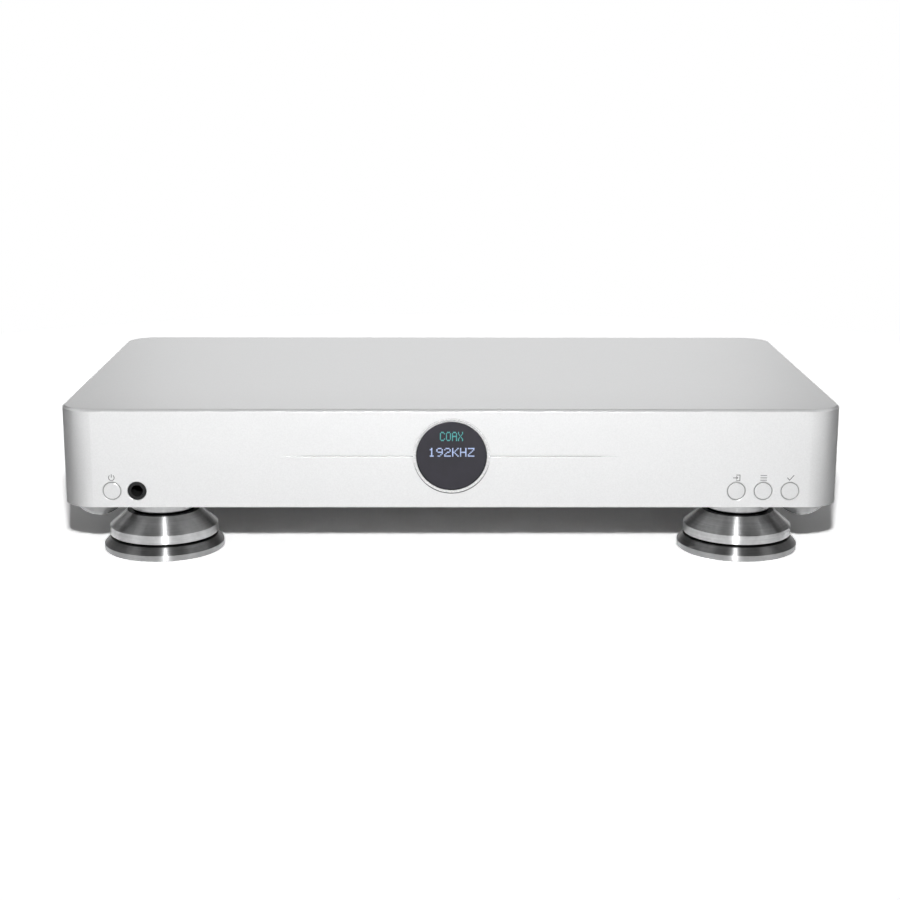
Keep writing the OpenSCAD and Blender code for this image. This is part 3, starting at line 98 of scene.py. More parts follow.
def calc(owner, kind, operation, *values):
    """The result of a math node; each value is an output to wire in, or a constant."""
    made = add_node(owner, kind, operation)
    for socket, value in zip(made.inputs, values):
        if isinstance(value, bpy.types.NodeSocket):
            wire(owner, value, socket)
        else:
            socket.default_value = value
    return made.outputs["Value" if operation in ("DISTANCE", "LENGTH") else 0]


def scale(owner, colour, factor):
    made = add_node(owner, "VectorMath", "SCALE")
    wire(owner, colour, made.inputs[0])
    wire(owner, factor, made.inputs["Scale"])
    return made.outputs[0]


def remap(owner, value, from_low, from_high, low, high):
    """Moves a value from one range to another."""
    made = add_node(owner, "MapRange", From_Min=from_low, From_Max=from_high, To_Min=low, To_Max=high)
    wire(owner, value, made.inputs["Value"])
    return made.outputs["Result"]


def split(owner, vector):
    """The outputs X, Y and Z of a vector."""
    made = add_node(owner, "SeparateXYZ")
    wire(owner, vector, made.inputs[0])
    return made.outputs


print("node helpers are ready")

# %% [markdown]
# ## The camera
# A product photo is taken with a longish lens from a little above, so that the upright edges stay nearly
# parallel. A camera can be aimed with a constraint, but a photo's camera has a small roll and turn too.
# Three plain rotations, one after the other, hold all of that: roll about the view, tilt down, then turn.

# %% Camera
camera_place = Vector((-0.00778, -1.04335, 0.28009))
camera_tilt = math.radians(13.148)
camera_turn = math.radians(-0.431)
camera_roll = math.radians(0.116)

lens = bpy.data.cameras.new("camera")
lens.sensor_fit = "HORIZONTAL"
lens.sensor_width = 36
lens.lens = 69.34
camera = bpy.data.objects.new("camera", lens)
scene.collection.objects.link(camera)
aim = Matrix.Rotation(camera_turn, 4, "Z") @ Matrix.Rotation(math.pi / 2 - camera_tilt, 4, "X")
camera.matrix_world = Matrix.Translation(camera_place) @ aim @ Matrix.Rotation(camera_roll, 4, "Z")
scene.camera = camera
print("camera", round(lens.lens, 1), "mm lens,", round(camera_place.length, 2), "m away")

# %% [markdown]
# ## The room
# The background is white paper. Making it white with strong lamps would burn out the pale case, so the
# paper is white only where the camera or a reflection sees it, and it lights the object like dim paper.
# The Light Path node tells these rays apart.

# %% Rays that see
def seen_directly(owner):
    """1 for what the camera sees, also mirrored or through glass, and 0 for light that only spreads."""
    path = add_node(owner, "LightPath").outputs
    seen = calc(owner, "Math", "MAXIMUM", path["Is Camera Ray"], path["Is Glossy Ray"])
    seen = calc(owner, "Math", "MAXIMUM", seen, path["Is Transmission Ray"])
    unspread = calc(owner, "Math", "LESS_THAN", path["Diffuse Depth"], 0.5)
    return calc(owner, "Math", "MULTIPLY", seen, unspread)


print("ray test is ready")

# %% [markdown]
# The paper behind the object gives more light than the paper in front, so that the rear is easy to see
# while the shadow under the front stays deep.

# %% White surroundings
fill_level = 0.06
fill_behind = 0.27

room = bpy.data.worlds.new("white_room")
room.use_nodes = True
scene.world = room
paper = room.node_tree.nodes["Background"]
paper.inputs["Color"].default_value = (1, 1, 1, 1)
fill = add_node(room, "Background", Color=(1, 1, 1, 1))
choice = add_node(room, "MixShader")
ray = add_node(room, "TexCoord").outputs["Generated"]
strength = remap(room, split(room, ray)["Y"], 0.3, 0.9, fill_level, fill_behind)
wire(room, strength, fill.inputs["Strength"])
wire(room, seen_directly(room), choice.inputs["Fac"])
wire(room, fill.outputs[0], choice.inputs[1])
wire(room, paper.outputs[0], choice.inputs[2])
wire(room, choice.outputs[0], room.node_tree.nodes["World Output"].inputs["Surface"])
print("room lights with", fill_level, "and from behind with", fill_behind)

# %% [markdown]
# ## The lamp
# One small lamp shines from the front, above the camera. The shadow under the case begins 60 mm behind
# its front edge, and the case hangs 32 mm over the floor, so the lamp's height follows from these two.
# Being near, it makes the shadow a little wider than the case. Being small, it draws a thin bright line
# down each turned foot.

# %% Lamp
def hang_lamp(name, data, place):
    """A lamp in the scene at a place."""
    made = bpy.data.objects.new(name, data)
    scene.collection.objects.link(made)
    made.location = place
    return made


case_low, case_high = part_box("case_shell")
shadow_front = Vector((camera_place.x, case_low.y + 60 * mm, 0))
case_edge = Vector((camera_place.x, case_low.y, case_low.z))
lamp_width = 50 * mm
lamp_watts = 39

toward_lamp = (case_edge - shadow_front).normalized()
lamp_place = shadow_front + toward_lamp * (shadow_front.y - camera_place.y) / -toward_lamp.y
lamp_data = bpy.data.lights.new("key_lamp", "POINT")
lamp_data.shadow_soft_size = lamp_width / 2
lamp_data.energy = lamp_watts
lamp = hang_lamp("key_lamp", lamp_data, lamp_place)
lamp_far = (lamp_place - case_edge).length
print("lamp hangs", round(lamp_place.z, 2), "m high,", round(lamp_far, 2), "m from the case")

# %% [markdown]
# ## The floor
# The floor is the same paper as the background, and it has to keep the object's shadow. A near lamp
# lights it unevenly: its light falls with the square of the distance, and once more with the slant. So
# the paper's tone is one divided by the light that arrives, which makes it an even white. Far out, where
# no shadow falls, it is the plain white of the background, so that no horizon shows.

# %% Floor
def link_mesh(name, points, faces):
    """A mesh object made of points and of faces that count them."""
    mesh = bpy.data.meshes.new(name)
    mesh.from_pydata([tuple(p) for p in points], [], faces)
    made = bpy.data.objects.new(name, mesh)
    scene.collection.objects.link(made)
    return made


floor_reach = 30.0
corners = [(x * floor_reach, y * floor_reach, 0) for x, y in ((-1, -1), (1, -1), (1, 1), (-1, 1))]
floor = link_mesh("floor", corners, [(0, 1, 2, 3)])
floor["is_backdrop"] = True
print("floor reaches", floor_reach, "m")

# %% [markdown]
# The nodes follow the words: the distance to the lamp, its cube for square and slant, the light that
# arrives, and one divided by it. A second branch measures how far out a point lies and blends over to
# plain white.

# %% Floor paper
paper_dim = 0.80
paper_white = 1.01
shadow_zone = (0.45, 0.80)
lamp_light = lamp_watts * lamp_place.z / (4 * math.pi**2)

sheet = bpy.data.materials.new("floor_paper")
sheet.use_nodes = True
sheet.node_tree.nodes.clear()
matt = add_node(sheet, "BsdfDiffuse")
white = add_node(sheet, "Emission")
blend = add_node(sheet, "MixShader")
result = add_node(sheet, "OutputMaterial")
spot = add_node(sheet, "NewGeometry").outputs["Position"]
seen = seen_directly(sheet)

reach = calc(sheet, "VectorMath", "DISTANCE", spot, lamp_place)
cube = calc(sheet, "Math", "POWER", reach, -3)
light = calc(sheet, "Math", "MULTIPLY_ADD", cube, lamp_light, fill_level)
tone = add_node(sheet, "MapRange", To_Min=paper_dim)
wire(sheet, calc(sheet, "Math", "DIVIDE", paper_white, light), tone.inputs["To Max"])
wire(sheet, seen, tone.inputs["Value"])
wire(sheet, tone.outputs["Result"], matt.inputs["Color"])

away = calc(sheet, "VectorMath", "LENGTH", spot)
far = remap(sheet, away, *shadow_zone, 0, 1)
wire(sheet, calc(sheet, "Math", "MULTIPLY", far, seen), blend.inputs["Fac"])
wire(sheet, matt.outputs[0], blend.inputs[1])
wire(sheet, white.outputs[0], blend.inputs[2])
wire(sheet, blend.outputs[0], result.inputs["Surface"])
floor.data.materials.append(sheet)
print("floor keeps shadows within", shadow_zone[0], "m")

# %% [markdown]
# ## Grey cards
# Metal shows whatever stands around it. In an all-white room a rounded corner would melt into the
# background, so a photographer puts dark cards beside and above the object. The side cards lie on the
# floor next to the case and then rise. They are dark at the back and lighter toward the front. Two cards
# further back shade the ends of the top. A canopy behind the lamp runs up and overhead, and makes the
# slopes of the feet dark. An apron on the floor shades the front toward its lower edge. Only reflections
# see the cards.

# %% Cards
def hide_from(made, *rays):
    """Makes a sheet of the set invisible to some kinds of rays."""
    for ray in rays:
        setattr(made, "visible_" + ray, False)


def card(name, points, faces, y_range, tones):
    """A sheet that only reflections see; its tone runs from the first y to the second."""
    shade = bpy.data.materials.new(name + "_grey")
    shade.use_nodes = True
    shade.node_tree.nodes.clear()
    spot = add_node(shade, "TexCoord").outputs["Object"]
    glow = add_node(shade, "Emission")
    result = add_node(shade, "OutputMaterial")
    wire(shade, remap(shade, split(shade, spot)["Y"], *y_range, *tones), glow.inputs["Color"])
    wire(shade, seen_directly(shade), glow.inputs["Strength"])
    wire(shade, glow.outputs[0], result.inputs["Surface"])
    made = link_mesh(name, points, faces)
    made.data.materials.append(shade)
    hide_from(made, "camera", "diffuse", "transmission", "shadow")
    made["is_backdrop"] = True


for side, near, far, name in ((-1, 0.256, 0.80, "left"), (1, 0.238, 0.86, "right")):
    low = [(side * x, y, z) for y in (-0.50, 0.90) for x, z in ((near, mm), (0.80, mm), (0.80, 0.60))]
    card("card_" + name, low, [(0, 1, 4, 3), (1, 2, 5, 4)], (-0.50, -0.10), (0.95, 0.20))
    high = [(side * far, y, z) for y, z in ((0.90, 0.50), (3.20, 0.50), (3.20, 1.50), (0.90, 1.50))]
    card("card_back_" + name, high, [(0, 1, 2, 3)], (0.90, 3.20), (0.42, 0.42))
canopy_bend = ((-1.70, 0.50), (-1.60, 1.20), (-0.95, 1.60), (0.90, 1.60))
canopy = [(x, y, z) for y, z in canopy_bend for x in (-1.6, 1.6)]
card("card_canopy", canopy, [(0, 1, 3, 2), (2, 3, 5, 4), (4, 5, 7, 6)], (-0.62, -0.25), (0.04, 0.70))
apron_spots = ((-0.24, -0.46), (0.24, -0.46), (0.24, -0.10), (-0.24, -0.10))
apron = [(x, y, 0.5 * mm) for x, y in apron_spots]
card("card_apron", apron, [(0, 1, 2, 3)], (-0.46, -0.12), (1.0, 0.87))
print("cards stand at both sides and overhead")

# %% [markdown]
# ## A flag over the top
# From behind, satin metal would throw the lamp straight into the viewer's eyes. A photographer holds a
# flag, a piece of black card, between the lamp and the top. Here it is a low wall along the front edge
# that only casts shadows.

# %% Flag
corner_r = 18 * mm
flag_gap = 0.5 * mm
flag_top = 0.24
arc_steps = 12

wall = []
for side, start in ((-1, 180), (1, 270)):
    for k in range(arc_steps + 1):
        angle = math.radians(start + 90 / arc_steps * k)
        x = side * (case_high.x - corner_r) + (corner_r + flag_gap) * math.cos(angle)
        wall.append((x, case_low.y + corner_r + (corner_r + flag_gap) * math.sin(angle)))
points = [(x, y, z) for x, y in wall for z in (case_high.z + flag_gap, flag_top)]
panes = [(2 * k, 2 * k + 2, 2 * k + 3, 2 * k + 1) for k in range(len(wall) - 1)]
flag = link_mesh("flag", points, panes)
hide_from(flag, "camera", "diffuse", "glossy", "transmission")
flag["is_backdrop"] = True
print("flag stands", round((flag_top - case_high.z) / mm), "mm above the front edge")

# %% [markdown]
# ## Lamps for the case alone
# The flag must not darken the floor. So the case has a lamp of its own, in the same place, and Blender's
# light linking says which lamp lights what and which lamp the flag stops. A soft lamp overhead gives the
# top its light back. It is hidden from reflections, so it leaves no glare.

# %% Lamps of the case
def linked(name, thing, state):
    """A collection that includes or excludes one thing, for a lamp's light linking."""
    group = bpy.data.collections.new(name)
    group.objects.link(thing)
    group.collection_objects[0].light_linking.link_state = state
    return group


soft_watts = 12
soft_width = 1.6
soft_place = (0, 0.10, 1.50)

shell = nodes["case_shell"]
only_case = linked("lit_by_case_lamp", shell, "INCLUDE")
case_lamp = hang_lamp("case_lamp", lamp_data, lamp_place)
case_lamp.light_linking.receiver_collection = only_case
lamp.light_linking.receiver_collection = linked("not_lit_by_key_lamp", shell, "EXCLUDE")
lamp.light_linking.blocker_collection = linked("not_in_key_lamp", flag, "EXCLUDE")

soft_data = bpy.data.lights.new("soft_lamp", "AREA")
soft_data.shape = "DISK"
soft_data.size = soft_width
soft_data.energy = soft_watts
soft_lamp = hang_lamp("soft_lamp", soft_data, soft_place)
hide_from(soft_lamp, "camera", "glossy")
soft_lamp.light_linking.receiver_collection = only_case
print("case is lit by", case_lamp.name, "and", soft_lamp.name)

# %% [markdown]
# ## Tools for finishes
# A finish starts as one Principled shader. What is even all over goes straight onto its sockets. What
# varies comes from noise that is fixed to the piece: a tint, a change of gloss or a fine relief. These
# few helpers wire that, so that each finish below can stay short.

# %% Finish helpers
finishes = {}


def new_finish(name, base, metallic, roughness):
    """A Principled material, kept under its name, and its shader."""
    plain = bpy.data.materials.get(name)
    if plain:
        plain.name = name + "_plain"
    material = bpy.data.materials.new(name)
    material.use_nodes = True
    shader = material.node_tree.nodes["Principled BSDF"]
    shader.inputs["Base Color"].default_value = (*base, 1)
    shader.inputs["Metallic"].default_value = metallic
    shader.inputs["Roughness"].default_value = roughness
    finishes[name] = material
    return material, shader


print("new finishes start as Principled shaders")

# %% [markdown]
# Noise is fixed to the piece through its object coordinates, and measured in metres. It can move a
# number, a colour or a relief.

# %% Noise helpers
def noise(material, size, detail=3.0, stretch=(1, 1, 1)):
    """Cloudy noise with blots about `size` metres wide, longer along an axis with a larger stretch."""
    place = add_node(material, "TexCoord")
    fit = add_node(material, "Mapping", Scale=[1 / (size * s) for s in stretch])
    cloud = add_node(material, "TexNoise", Scale=1.0, Detail=detail)
    wire(material, place.outputs["Object"], fit.inputs["Vector"])
    wire(material, fit.outputs["Vector"], cloud.inputs["Vector"])
    return cloud.outputs["Fac"]


def vary(material, socket, source, low, high):
    """Lets noise move a number on a socket between two values."""
    wire(material, remap(material, source, 0.3, 0.7, low, high), socket)


def gloss(material, shader, size, low, high):
    """Lets noise with blots of a size move the roughness between two values."""
    vary(material, shader.inputs["Roughness"], noise(material, size), low, high)


def tint(material, shader, source, dark, light):
    """Lets noise move the colour between a dark and a light one."""
    ramp = add_node(material, "ValToRGB")
    for stop, place, colour in zip(ramp.color_ramp.elements, (0.3, 0.7), (dark, light)):
        stop.position = place
        stop.color = (*colour, 1)
    wire(material, source, ramp.inputs["Fac"])
    wire(material, ramp.outputs["Color"], shader.inputs["Base Color"])


def relief(material, shader, height, depth, easing=0.0):
    """Turns noise into bumps `depth` metres high; easing rounds sharp edges in the light."""
    bump = add_node(material, "Bump", Strength=1.0, Distance=depth)
    wire(material, height, bump.inputs["Height"])
    if easing:
        edge = add_node(material, "Bevel", Radius=easing)
        edge.samples = 4
        wire(material, edge.outputs["Normal"], bump.inputs["Normal"])
    wire(material, bump.outputs["Normal"], shader.inputs["Normal"])


def grey(level, warmth=0.0):
    """A nearly neutral colour, slightly warm above zero and slightly cool below."""
    return (level * (1 + warmth), level, level * (1 - warmth))


print("noise helpers are ready")

# %% [markdown]
# ## Blasted aluminium
# The case and the keys are aluminium, blown with fine glass beads and then anodised. That leaves a silky,
# almost matt silver. A pure metal shader would mirror the white room and look flat, so part of the light
# is scattered as paint would scatter it, and a half-millimetre grain breaks up the rest.

# %% Case and keys
def blasted_aluminium(name, level, roughness):
    material, shader = new_finish(name, grey(level, -0.004), 0.70, roughness)
    tint(material, shader, noise(material, 0.7 * mm), grey(level * 0.97, -0.004), grey(level * 1.03, -0.004))
    gloss(material, shader, 6 * mm, roughness - 0.01, roughness + 0.01)
    relief(material, shader, noise(material, 0.45 * mm, 2.0), 0.012 * mm, easing=0.25 * mm)
    return material, shader


case_metal, case_shader = blasted_aluminium("case_aluminium", 0.77, 0.36)
blasted_aluminium("key_aluminium", 0.74, 0.36)
print("blasted finishes", list(finishes))

# %% [markdown]
# ## The fine line
# A fine groove runs across the front through the display. A ball cutter made it. The groove is real in the
# model, and the shade inside it is painted: where a point lies at the groove's height and just behind the
# front, the tint is scaled down.

# %% Groove
groove_z = 60.8 * mm
groove_reach = 95 * mm
groove_shade = 0.45
near = 0.5 * mm
limits = (("Z", groove_z, near), ("Y", case_low.y + 0.52 * mm, near), ("X", 0, groove_reach))

place = add_node(case_metal, "TexCoord").outputs["Object"]
axes = split(case_metal, place)
inside = 1.0
for axis, middle, reach in limits:
    within = calc(case_metal, "Math", "COMPARE", axes[axis], middle, reach)
    inside = calc(case_metal, "Math", "MULTIPLY", inside, within)
# Painted shade: inside the groove the tint is scaled down.
keep = remap(case_metal, inside, 0, 1, 1.0, groove_shade)
plain = case_shader.inputs["Base Color"].links[0].from_socket
wire(case_metal, scale(case_metal, plain, keep), case_shader.inputs["Base Color"])
print("groove at", round(groove_z / mm, 1), "mm")

# %% [markdown]
# ## Turned metal
# A lathe leaves fine rings around its axis. They spread a highlight across the rings and keep it narrow
# along them, so a lamp becomes a thin bright line from top to bottom. The shader's anisotropy does this,
# and needs the direction across the rings. For feet that stand in four places, it is worked out from the
# nearest foot's axis.

# %% Direction of the rings
def across_rings(material, axis_x, axis_y):
    """Directions across the rings, and away from the axis, on pieces at (+-axis_x, +-axis_y)."""
    place = add_node(material, "TexCoord").outputs["Object"]
    face = add_node(material, "NewGeometry").outputs["Normal"]
    side = calc(material, "VectorMath", "SIGN", place)
    axis = calc(material, "VectorMath", "MULTIPLY", side, (axis_x, axis_y, 0))
    spoke = calc(material, "VectorMath", "SUBTRACT", place, axis)
    around = calc(material, "VectorMath", "CROSS_PRODUCT", (0, 0, 1), spoke)
    return calc(material, "VectorMath", "CROSS_PRODUCT", face, around), spoke


print("ring directions are ready")

# %% [markdown]
# Slopes face the dark underside of the case and flat tops lie in the gaps between the parts, so shade is
# painted into their tint: slopes keep less of it and flat tops the least. A ramp over the height of the
# face's normal tells them apart. Wiping left faint radial streaks, which are noise that depends only on the
# bearing from the axis.

# %% Slopes and streaks
def painted_slope_shade(material, slope_shade):
    """A factor for the tint that paints shade: 1 on upright bands, less on slopes and a tenth on flat tops.
    """
    face = add_node(material, "NewGeometry").outputs["Normal"]
    keep = add_node(material, "ValToRGB")
    for place in (0.5, 0.85):
        keep.color_ramp.elements.new(place).color = (slope_shade, slope_shade, slope_shade, 1)
    keep.color_ramp.elements[0].position = 0.1
    keep.color_ramp.elements[0].color = (1, 1, 1, 1)
    keep.color_ramp.elements[-1].color = (0.1, 0.1, 0.1, 1)
    wire(material, split(material, face)["Z"], keep.inputs["Fac"])
    return keep.outputs["Color"]


def wipe_tone(material, spoke):
    """A factor for the tint that varies a little with the bearing."""
    bearing = calc(material, "VectorMath", "NORMALIZE", spoke)
    wipes = add_node(material, "TexNoise", Scale=10.0, Detail=2.0)
    wire(material, bearing, wipes.inputs["Vector"])
    return remap(material, wipes.outputs["Fac"], 0.3, 0.7, 0.93, 1.07)


print("slopes and streaks are ready")

# %% [markdown]
# Worn rings also spread a little light along themselves, so a second, wider gloss is mixed in as a halo.

# %% Turned finishes
def turned_metal(name, level, roughness, axis_x, axis_y, anisotropy, halo, slope_shade):
    material, shader = new_finish(name, grey(level, -0.006), 1.0, roughness)
    shader.inputs["Anisotropic"].default_value = anisotropy
    across, spoke = across_rings(material, axis_x, axis_y)
    wire(material, across, shader.inputs["Tangent"])
    rings = noise(material, 0.5 * mm, 4.0, stretch=(60, 60, 1))
    tint(material, shader, rings, grey(level * 0.90, -0.006), grey(level * 1.08, -0.006))
    smears = noise(material, 9 * mm, 2.0, stretch=(1, 1, 4))
    vary(material, shader.inputs["Roughness"], smears, roughness - 0.02, roughness + 0.02)
    plain = shader.inputs["Base Color"].links[0].from_socket
    # The tint is darkened here as painted shade on slopes and flat tops.
    slope_shaded = calc(material, "VectorMath", "MULTIPLY", plain, painted_slope_shade(material, slope_shade))
    worn = scale(material, slope_shaded, wipe_tone(material, spoke))
    wire(material, worn, shader.inputs["Base Color"])
    wide = add_node(material, "BsdfAnisotropic", Roughness=0.40, Anisotropy=-0.6)
    wire(material, across, wide.inputs["Tangent"])
    wire(material, worn, wide.inputs["Color"])
    both = add_node(material, "MixShader", Fac=halo)
    wire(material, shader.outputs[0], both.inputs[1])
    wire(material, wide.outputs[0], both.inputs[2])
    wire(material, both.outputs[0], material.node_tree.nodes["Material Output"].inputs["Surface"])


foot_base_r = 34 * mm
foot_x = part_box("isolator_bases")[1].x - foot_base_r
foot_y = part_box("isolator_bases")[1].y - foot_base_r
dome_r = 16
dome_h = 8.7
dome_reach = math.sqrt(dome_r**2 - (dome_r - dome_h) ** 2) * mm
dome_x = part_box("corner_feet")[1].x - dome_reach
dome_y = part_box("corner_feet")[1].y - dome_reach

turned_metal("turned_steel", 0.70, 0.31, foot_x, foot_y, 1.0, 0.25, 0.66)
# The bases are a darker copy of the same turned steel: painted shade, as their bands mirror the shadowed
# floor near the foot.
turned_metal("base_steel_shaded", 0.48, 0.31, foot_x, foot_y, 1.0, 0.25, 0.50)
turned_metal("dome_aluminium", 0.40, 0.34, dome_x, dome_y, 0.2, 0.15, 1.0)
print("feet stand at", round(foot_x / mm, 1), round(foot_y / mm, 1), "mm")

# %% [markdown]
# ## The bright bezel
# The ring around the display is cut with a diamond tool and then anodised in a pale silver. It is
# brighter than the case, and its sloping face scatters the lamp's light: the lower half faces the lamp
# and is almost white, the upper half is a shade darker. So it is mostly a pale matt coat with a little
# metal in it.

# %% Bezel
material, shader = new_finish("bezel_metal", grey(0.92), 0.15, 0.26)
tint(material, shader, noise(material, 0.5 * mm), grey(0.90), grey(0.94))
gloss(material, shader, 0.8 * mm, 0.22, 0.32)
relief(material, shader, noise(material, 0.3 * mm), 0.002 * mm, easing=0.08 * mm)
print("bezel is pale and bright")

# %% [markdown]
# ## Brushed plates
# The bottom plate and the rear panel are brushed along their length. Long thin noise gives the strokes,
# and the gloss is drawn out across them. The direction comes from the face's own normal and the stroke's
# direction.

# %% Brushed finishes
def brushed_metal(name, level, roughness):
    material, shader = new_finish(name, grey(level), 1.0, roughness)
    face = add_node(material, "NewGeometry").outputs["Normal"]
    across = calc(material, "VectorMath", "CROSS_PRODUCT", face, (1, 0.01, 0.02))
    wire(material, across, shader.inputs["Tangent"])
    shader.inputs["Anisotropic"].default_value = 0.5
    strokes = noise(material, 0.35 * mm, 4.0, stretch=(90, 1, 1))
    tint(material, shader, strokes, grey(level * 0.90), grey(level * 1.06))
    vary(material, shader.inputs["Roughness"], strokes, roughness - 0.05, roughness + 0.05)


brushed_metal("plate_aluminium", 0.62, 0.40)
brushed_metal("panel_aluminium", 0.66, 0.40)
print("brushed finishes are ready")

# %% [markdown]
# ## Plated and drawn metal
# Screws, sheet-metal sockets, pins and contacts are small. A little noise in the gloss and a worn tint
# are enough, at the scale of the part.

# %% Plated finishes
def plated_metal(name, base, roughness, blot):
    material, shader = new_finish(name, base, 1.0, roughness)
    tint(material, shader, noise(material, blot), [c * 0.9 for c in base], [min(1, c * 1.06) for c in base])
    gloss(material, shader, blot / 3, roughness * 0.9, roughness * 1.12)


plated_metal("zinc_steel", grey(0.58, -0.01), 0.34, 3 * mm)
plated_metal("black_screw", grey(0.06, -0.02), 0.38, 1.5 * mm)
plated_metal("nickel_pin", grey(0.70, 0.01), 0.22, 2 * mm)
plated_metal("socket_steel", grey(0.66, -0.005), 0.30, 4 * mm)
plated_metal("gold_contact", (0.83, 0.62, 0.27), 0.22, 2 * mm)
plated_metal("pillar_brass", (0.76, 0.58, 0.28), 0.30, 3 * mm)
plated_metal("black_heatsink", grey(0.07), 0.45, 2 * mm)
print("plated finishes are ready")

# %% [markdown]
# ## Plastic and rubber
# Moulded plastic has a fine spark-eroded grain, rubber is duller and a little dusty, and a chip's epoxy
# lies between them. All are the same recipe with other numbers: a dark base, a weak tint and a grain of
# the right size.

# %% Moulded finishes
def moulded(name, base, roughness, grain, depth, shine=0.5):
    material, shader = new_finish(name, base, 0.0, roughness)
    shader.inputs["Specular IOR Level"].default_value = shine
    tint(material, shader, noise(material, grain * 8), [c * 0.85 for c in base], [c * 1.2 for c in base])
    gloss(material, shader, grain * 5, roughness - 0.06, roughness + 0.06)
    relief(material, shader, noise(material, grain), depth, easing=0.12 * mm)


moulded("black_plastic", grey(0.022, -0.02), 0.45, 0.25 * mm, 0.01 * mm, shine=0.12)
moulded("rocker_plastic", grey(0.022, -0.02), 0.24, 0.6 * mm, 0.004 * mm)
moulded("chip_plastic", grey(0.025), 0.55, 0.15 * mm, 0.006 * mm)
moulded("damper_rubber", grey(0.003, 0.02), 0.75, 0.35 * mm, 0.015 * mm, shine=0.08)
moulded("capacitor_sleeve", (0.012, 0.024, 0.09), 0.28, 1.5 * mm, 0.006 * mm)
moulded("ribbon_plastic", grey(0.30, -0.02), 0.50, 0.5 * mm, 0.01 * mm)
print("moulded finishes are ready")

# %% [markdown]
# ## Glass and screen
# The display's window is dark glass in front of a dark panel. Real see-through glass would need light
# behind it to show anything, so the window is an opaque black with a glass-like polish, and the lit dots
# lie on its face.

# %% Glass
material, shader = new_finish("display_glass", (0.012, 0.012, 0.015), 0.0, 0.03)
tint(material, shader, noise(material, 9 * mm), (0.0170, 0.0158, 0.0230), (0.0215, 0.0195, 0.0290))
gloss(material, shader, 4 * mm, 0.02, 0.05)
moulded("display_screen", (0.010, 0.010, 0.013), 0.20, 1.0 * mm, 0.002 * mm)
print("glass is dark and polished")

# %% [markdown]
# ## Circuit boards and the transformer
# These are inside, and show only when the case is taken apart. A board's green mask has darker lanes
# where the copper lies, which a brick pattern of thin long bricks gives. The transformer is wound with
# yellow tape, and its overlaps run around as bands.

# %% Boards and coil
material, shader = new_finish("circuit_board", (0.03, 0.16, 0.07), 0.0, 0.38)
place = add_node(material, "TexCoord")
lanes = add_node(material, "TexBrick", Scale=1 / (22 * mm), Mortar_Size=0.012, Row_Height=0.12)
lanes.inputs["Brick Width"].default_value = 0.9
lanes.inputs["Color1"].default_value = (0.030, 0.160, 0.070, 1)
lanes.inputs["Color2"].default_value = (0.022, 0.130, 0.056, 1)
lanes.inputs["Mortar"].default_value = (0.060, 0.240, 0.110, 1)
wire(material, place.outputs["Object"], lanes.inputs["Vector"])
wire(material, lanes.outputs["Color"], shader.inputs["Base Color"])
gloss(material, shader, 5 * mm, 0.32, 0.46)

material, shader = new_finish("taped_coil", (0.62, 0.44, 0.08), 0.0, 0.36)
bands = noise(material, 3 * mm, 2.0, stretch=(1, 1, 12))
tint(material, shader, bands, (0.50, 0.34, 0.06), (0.70, 0.52, 0.12))
relief(material, shader, bands, 0.15 * mm)
print("finishes in all", len(finishes))

# %% [markdown]
# ## Dress the solids
# The record says which finish each solid has. One loop hands them out. The phono sockets' insulators get
# colours of their own, as on any hi-fi rear panel: red and white for the two channels and a third for the
# digital input.

# %% Hand out the finishes
material, shader = new_finish("phono_insulator", (0.02, 0.02, 0.02), 0.0, 0.35)
place = add_node(material, "TexCoord").outputs["Object"]
along = remap(material, split(material, place)["X"], cad_low.x, cad_high.x, 0, 1)
colours = add_node(material, "ValToRGB")
colours.color_ramp.interpolation = "CONSTANT"
stops = colours.color_ramp.elements
stops[0].color = (0.42, 0.02, 0.02, 1)
stops[1].position = (cad_high.x - 150 * mm) / (cad_high.x - cad_low.x)
stops[1].color = (0.72, 0.72, 0.70, 1)
digital = stops.new(0.5)
digital.color = (0.55, 0.20, 0.02, 1)
wire(material, along, colours.inputs["Fac"])
wire(material, colours.outputs["Color"], shader.inputs["Base Color"])
gloss(material, shader, 2 * mm, 0.28, 0.42)

for subpart in frame["record"]["subparts"]:
    solid = nodes[subpart["node"]]
    solid.data.materials.clear()
    solid.data.materials.append(finishes[subpart["material_slot"]])
nodes["phono_bodies"].data.materials[0] = finishes["phono_insulator"]
print("dressed", len(nodes), "solids")

# %% [markdown]
# ## Turned pieces
# Anything made on a lathe is an outline spun around an axis. Real edges are never knife-sharp: the turner
# breaks them with a file, and the light catches there. So corners of an outline are rounded first. An
# outline's ring may also be a hexagon instead of a circle, which makes the socket of a screw. A matrix
# puts each copy in its place.

# %% Outlines
def rounded(corners, steps=4):
    """A closed outline: each corner (a, b, radius) with a radius is replaced by an arc."""
    outline = []
    for i, (a, b, radius) in enumerate(corners):
        here = Vector((a, b))
        if not radius:
            outline.append((a, b, 0))
            continue
        back = (Vector(corners[i - 1][:2]) - here).normalized()
        on = (Vector(corners[(i + 1) % len(corners)][:2]) - here).normalized()
        half = back.angle(on) / 2
        centre = here + (back + on).normalized() * (radius / math.sin(half))
        start = here + back * (radius / math.tan(half)) - centre
        end = here + on * (radius / math.tan(half)) - centre
        for k in range(steps + 1):
            spot = centre + start.lerp(end, k / steps).normalized() * radius
            outline.append((spot.x, spot.y, 0))
    return outline


print("outlines can be rounded")

# %% [markdown]
# Every mesh made here is cleaned the same way, and then dressed: it gets its finish, rides on the body
# that it belongs to and hides the solids that it stands for.

# %% Clean and dress
def tidy(made, crease=30):
    """Points all faces outward, and shades smoothly except across edges sharper than the crease."""
    work = bmesh.new()
    work.from_mesh(made.data)
    bmesh.ops.recalc_face_normals(work, faces=work.faces)
    work.to_mesh(made.data)
    work.free()
    made.data.shade_smooth()
    made.data.set_sharp_from_angle(angle=math.radians(crease))
    return made


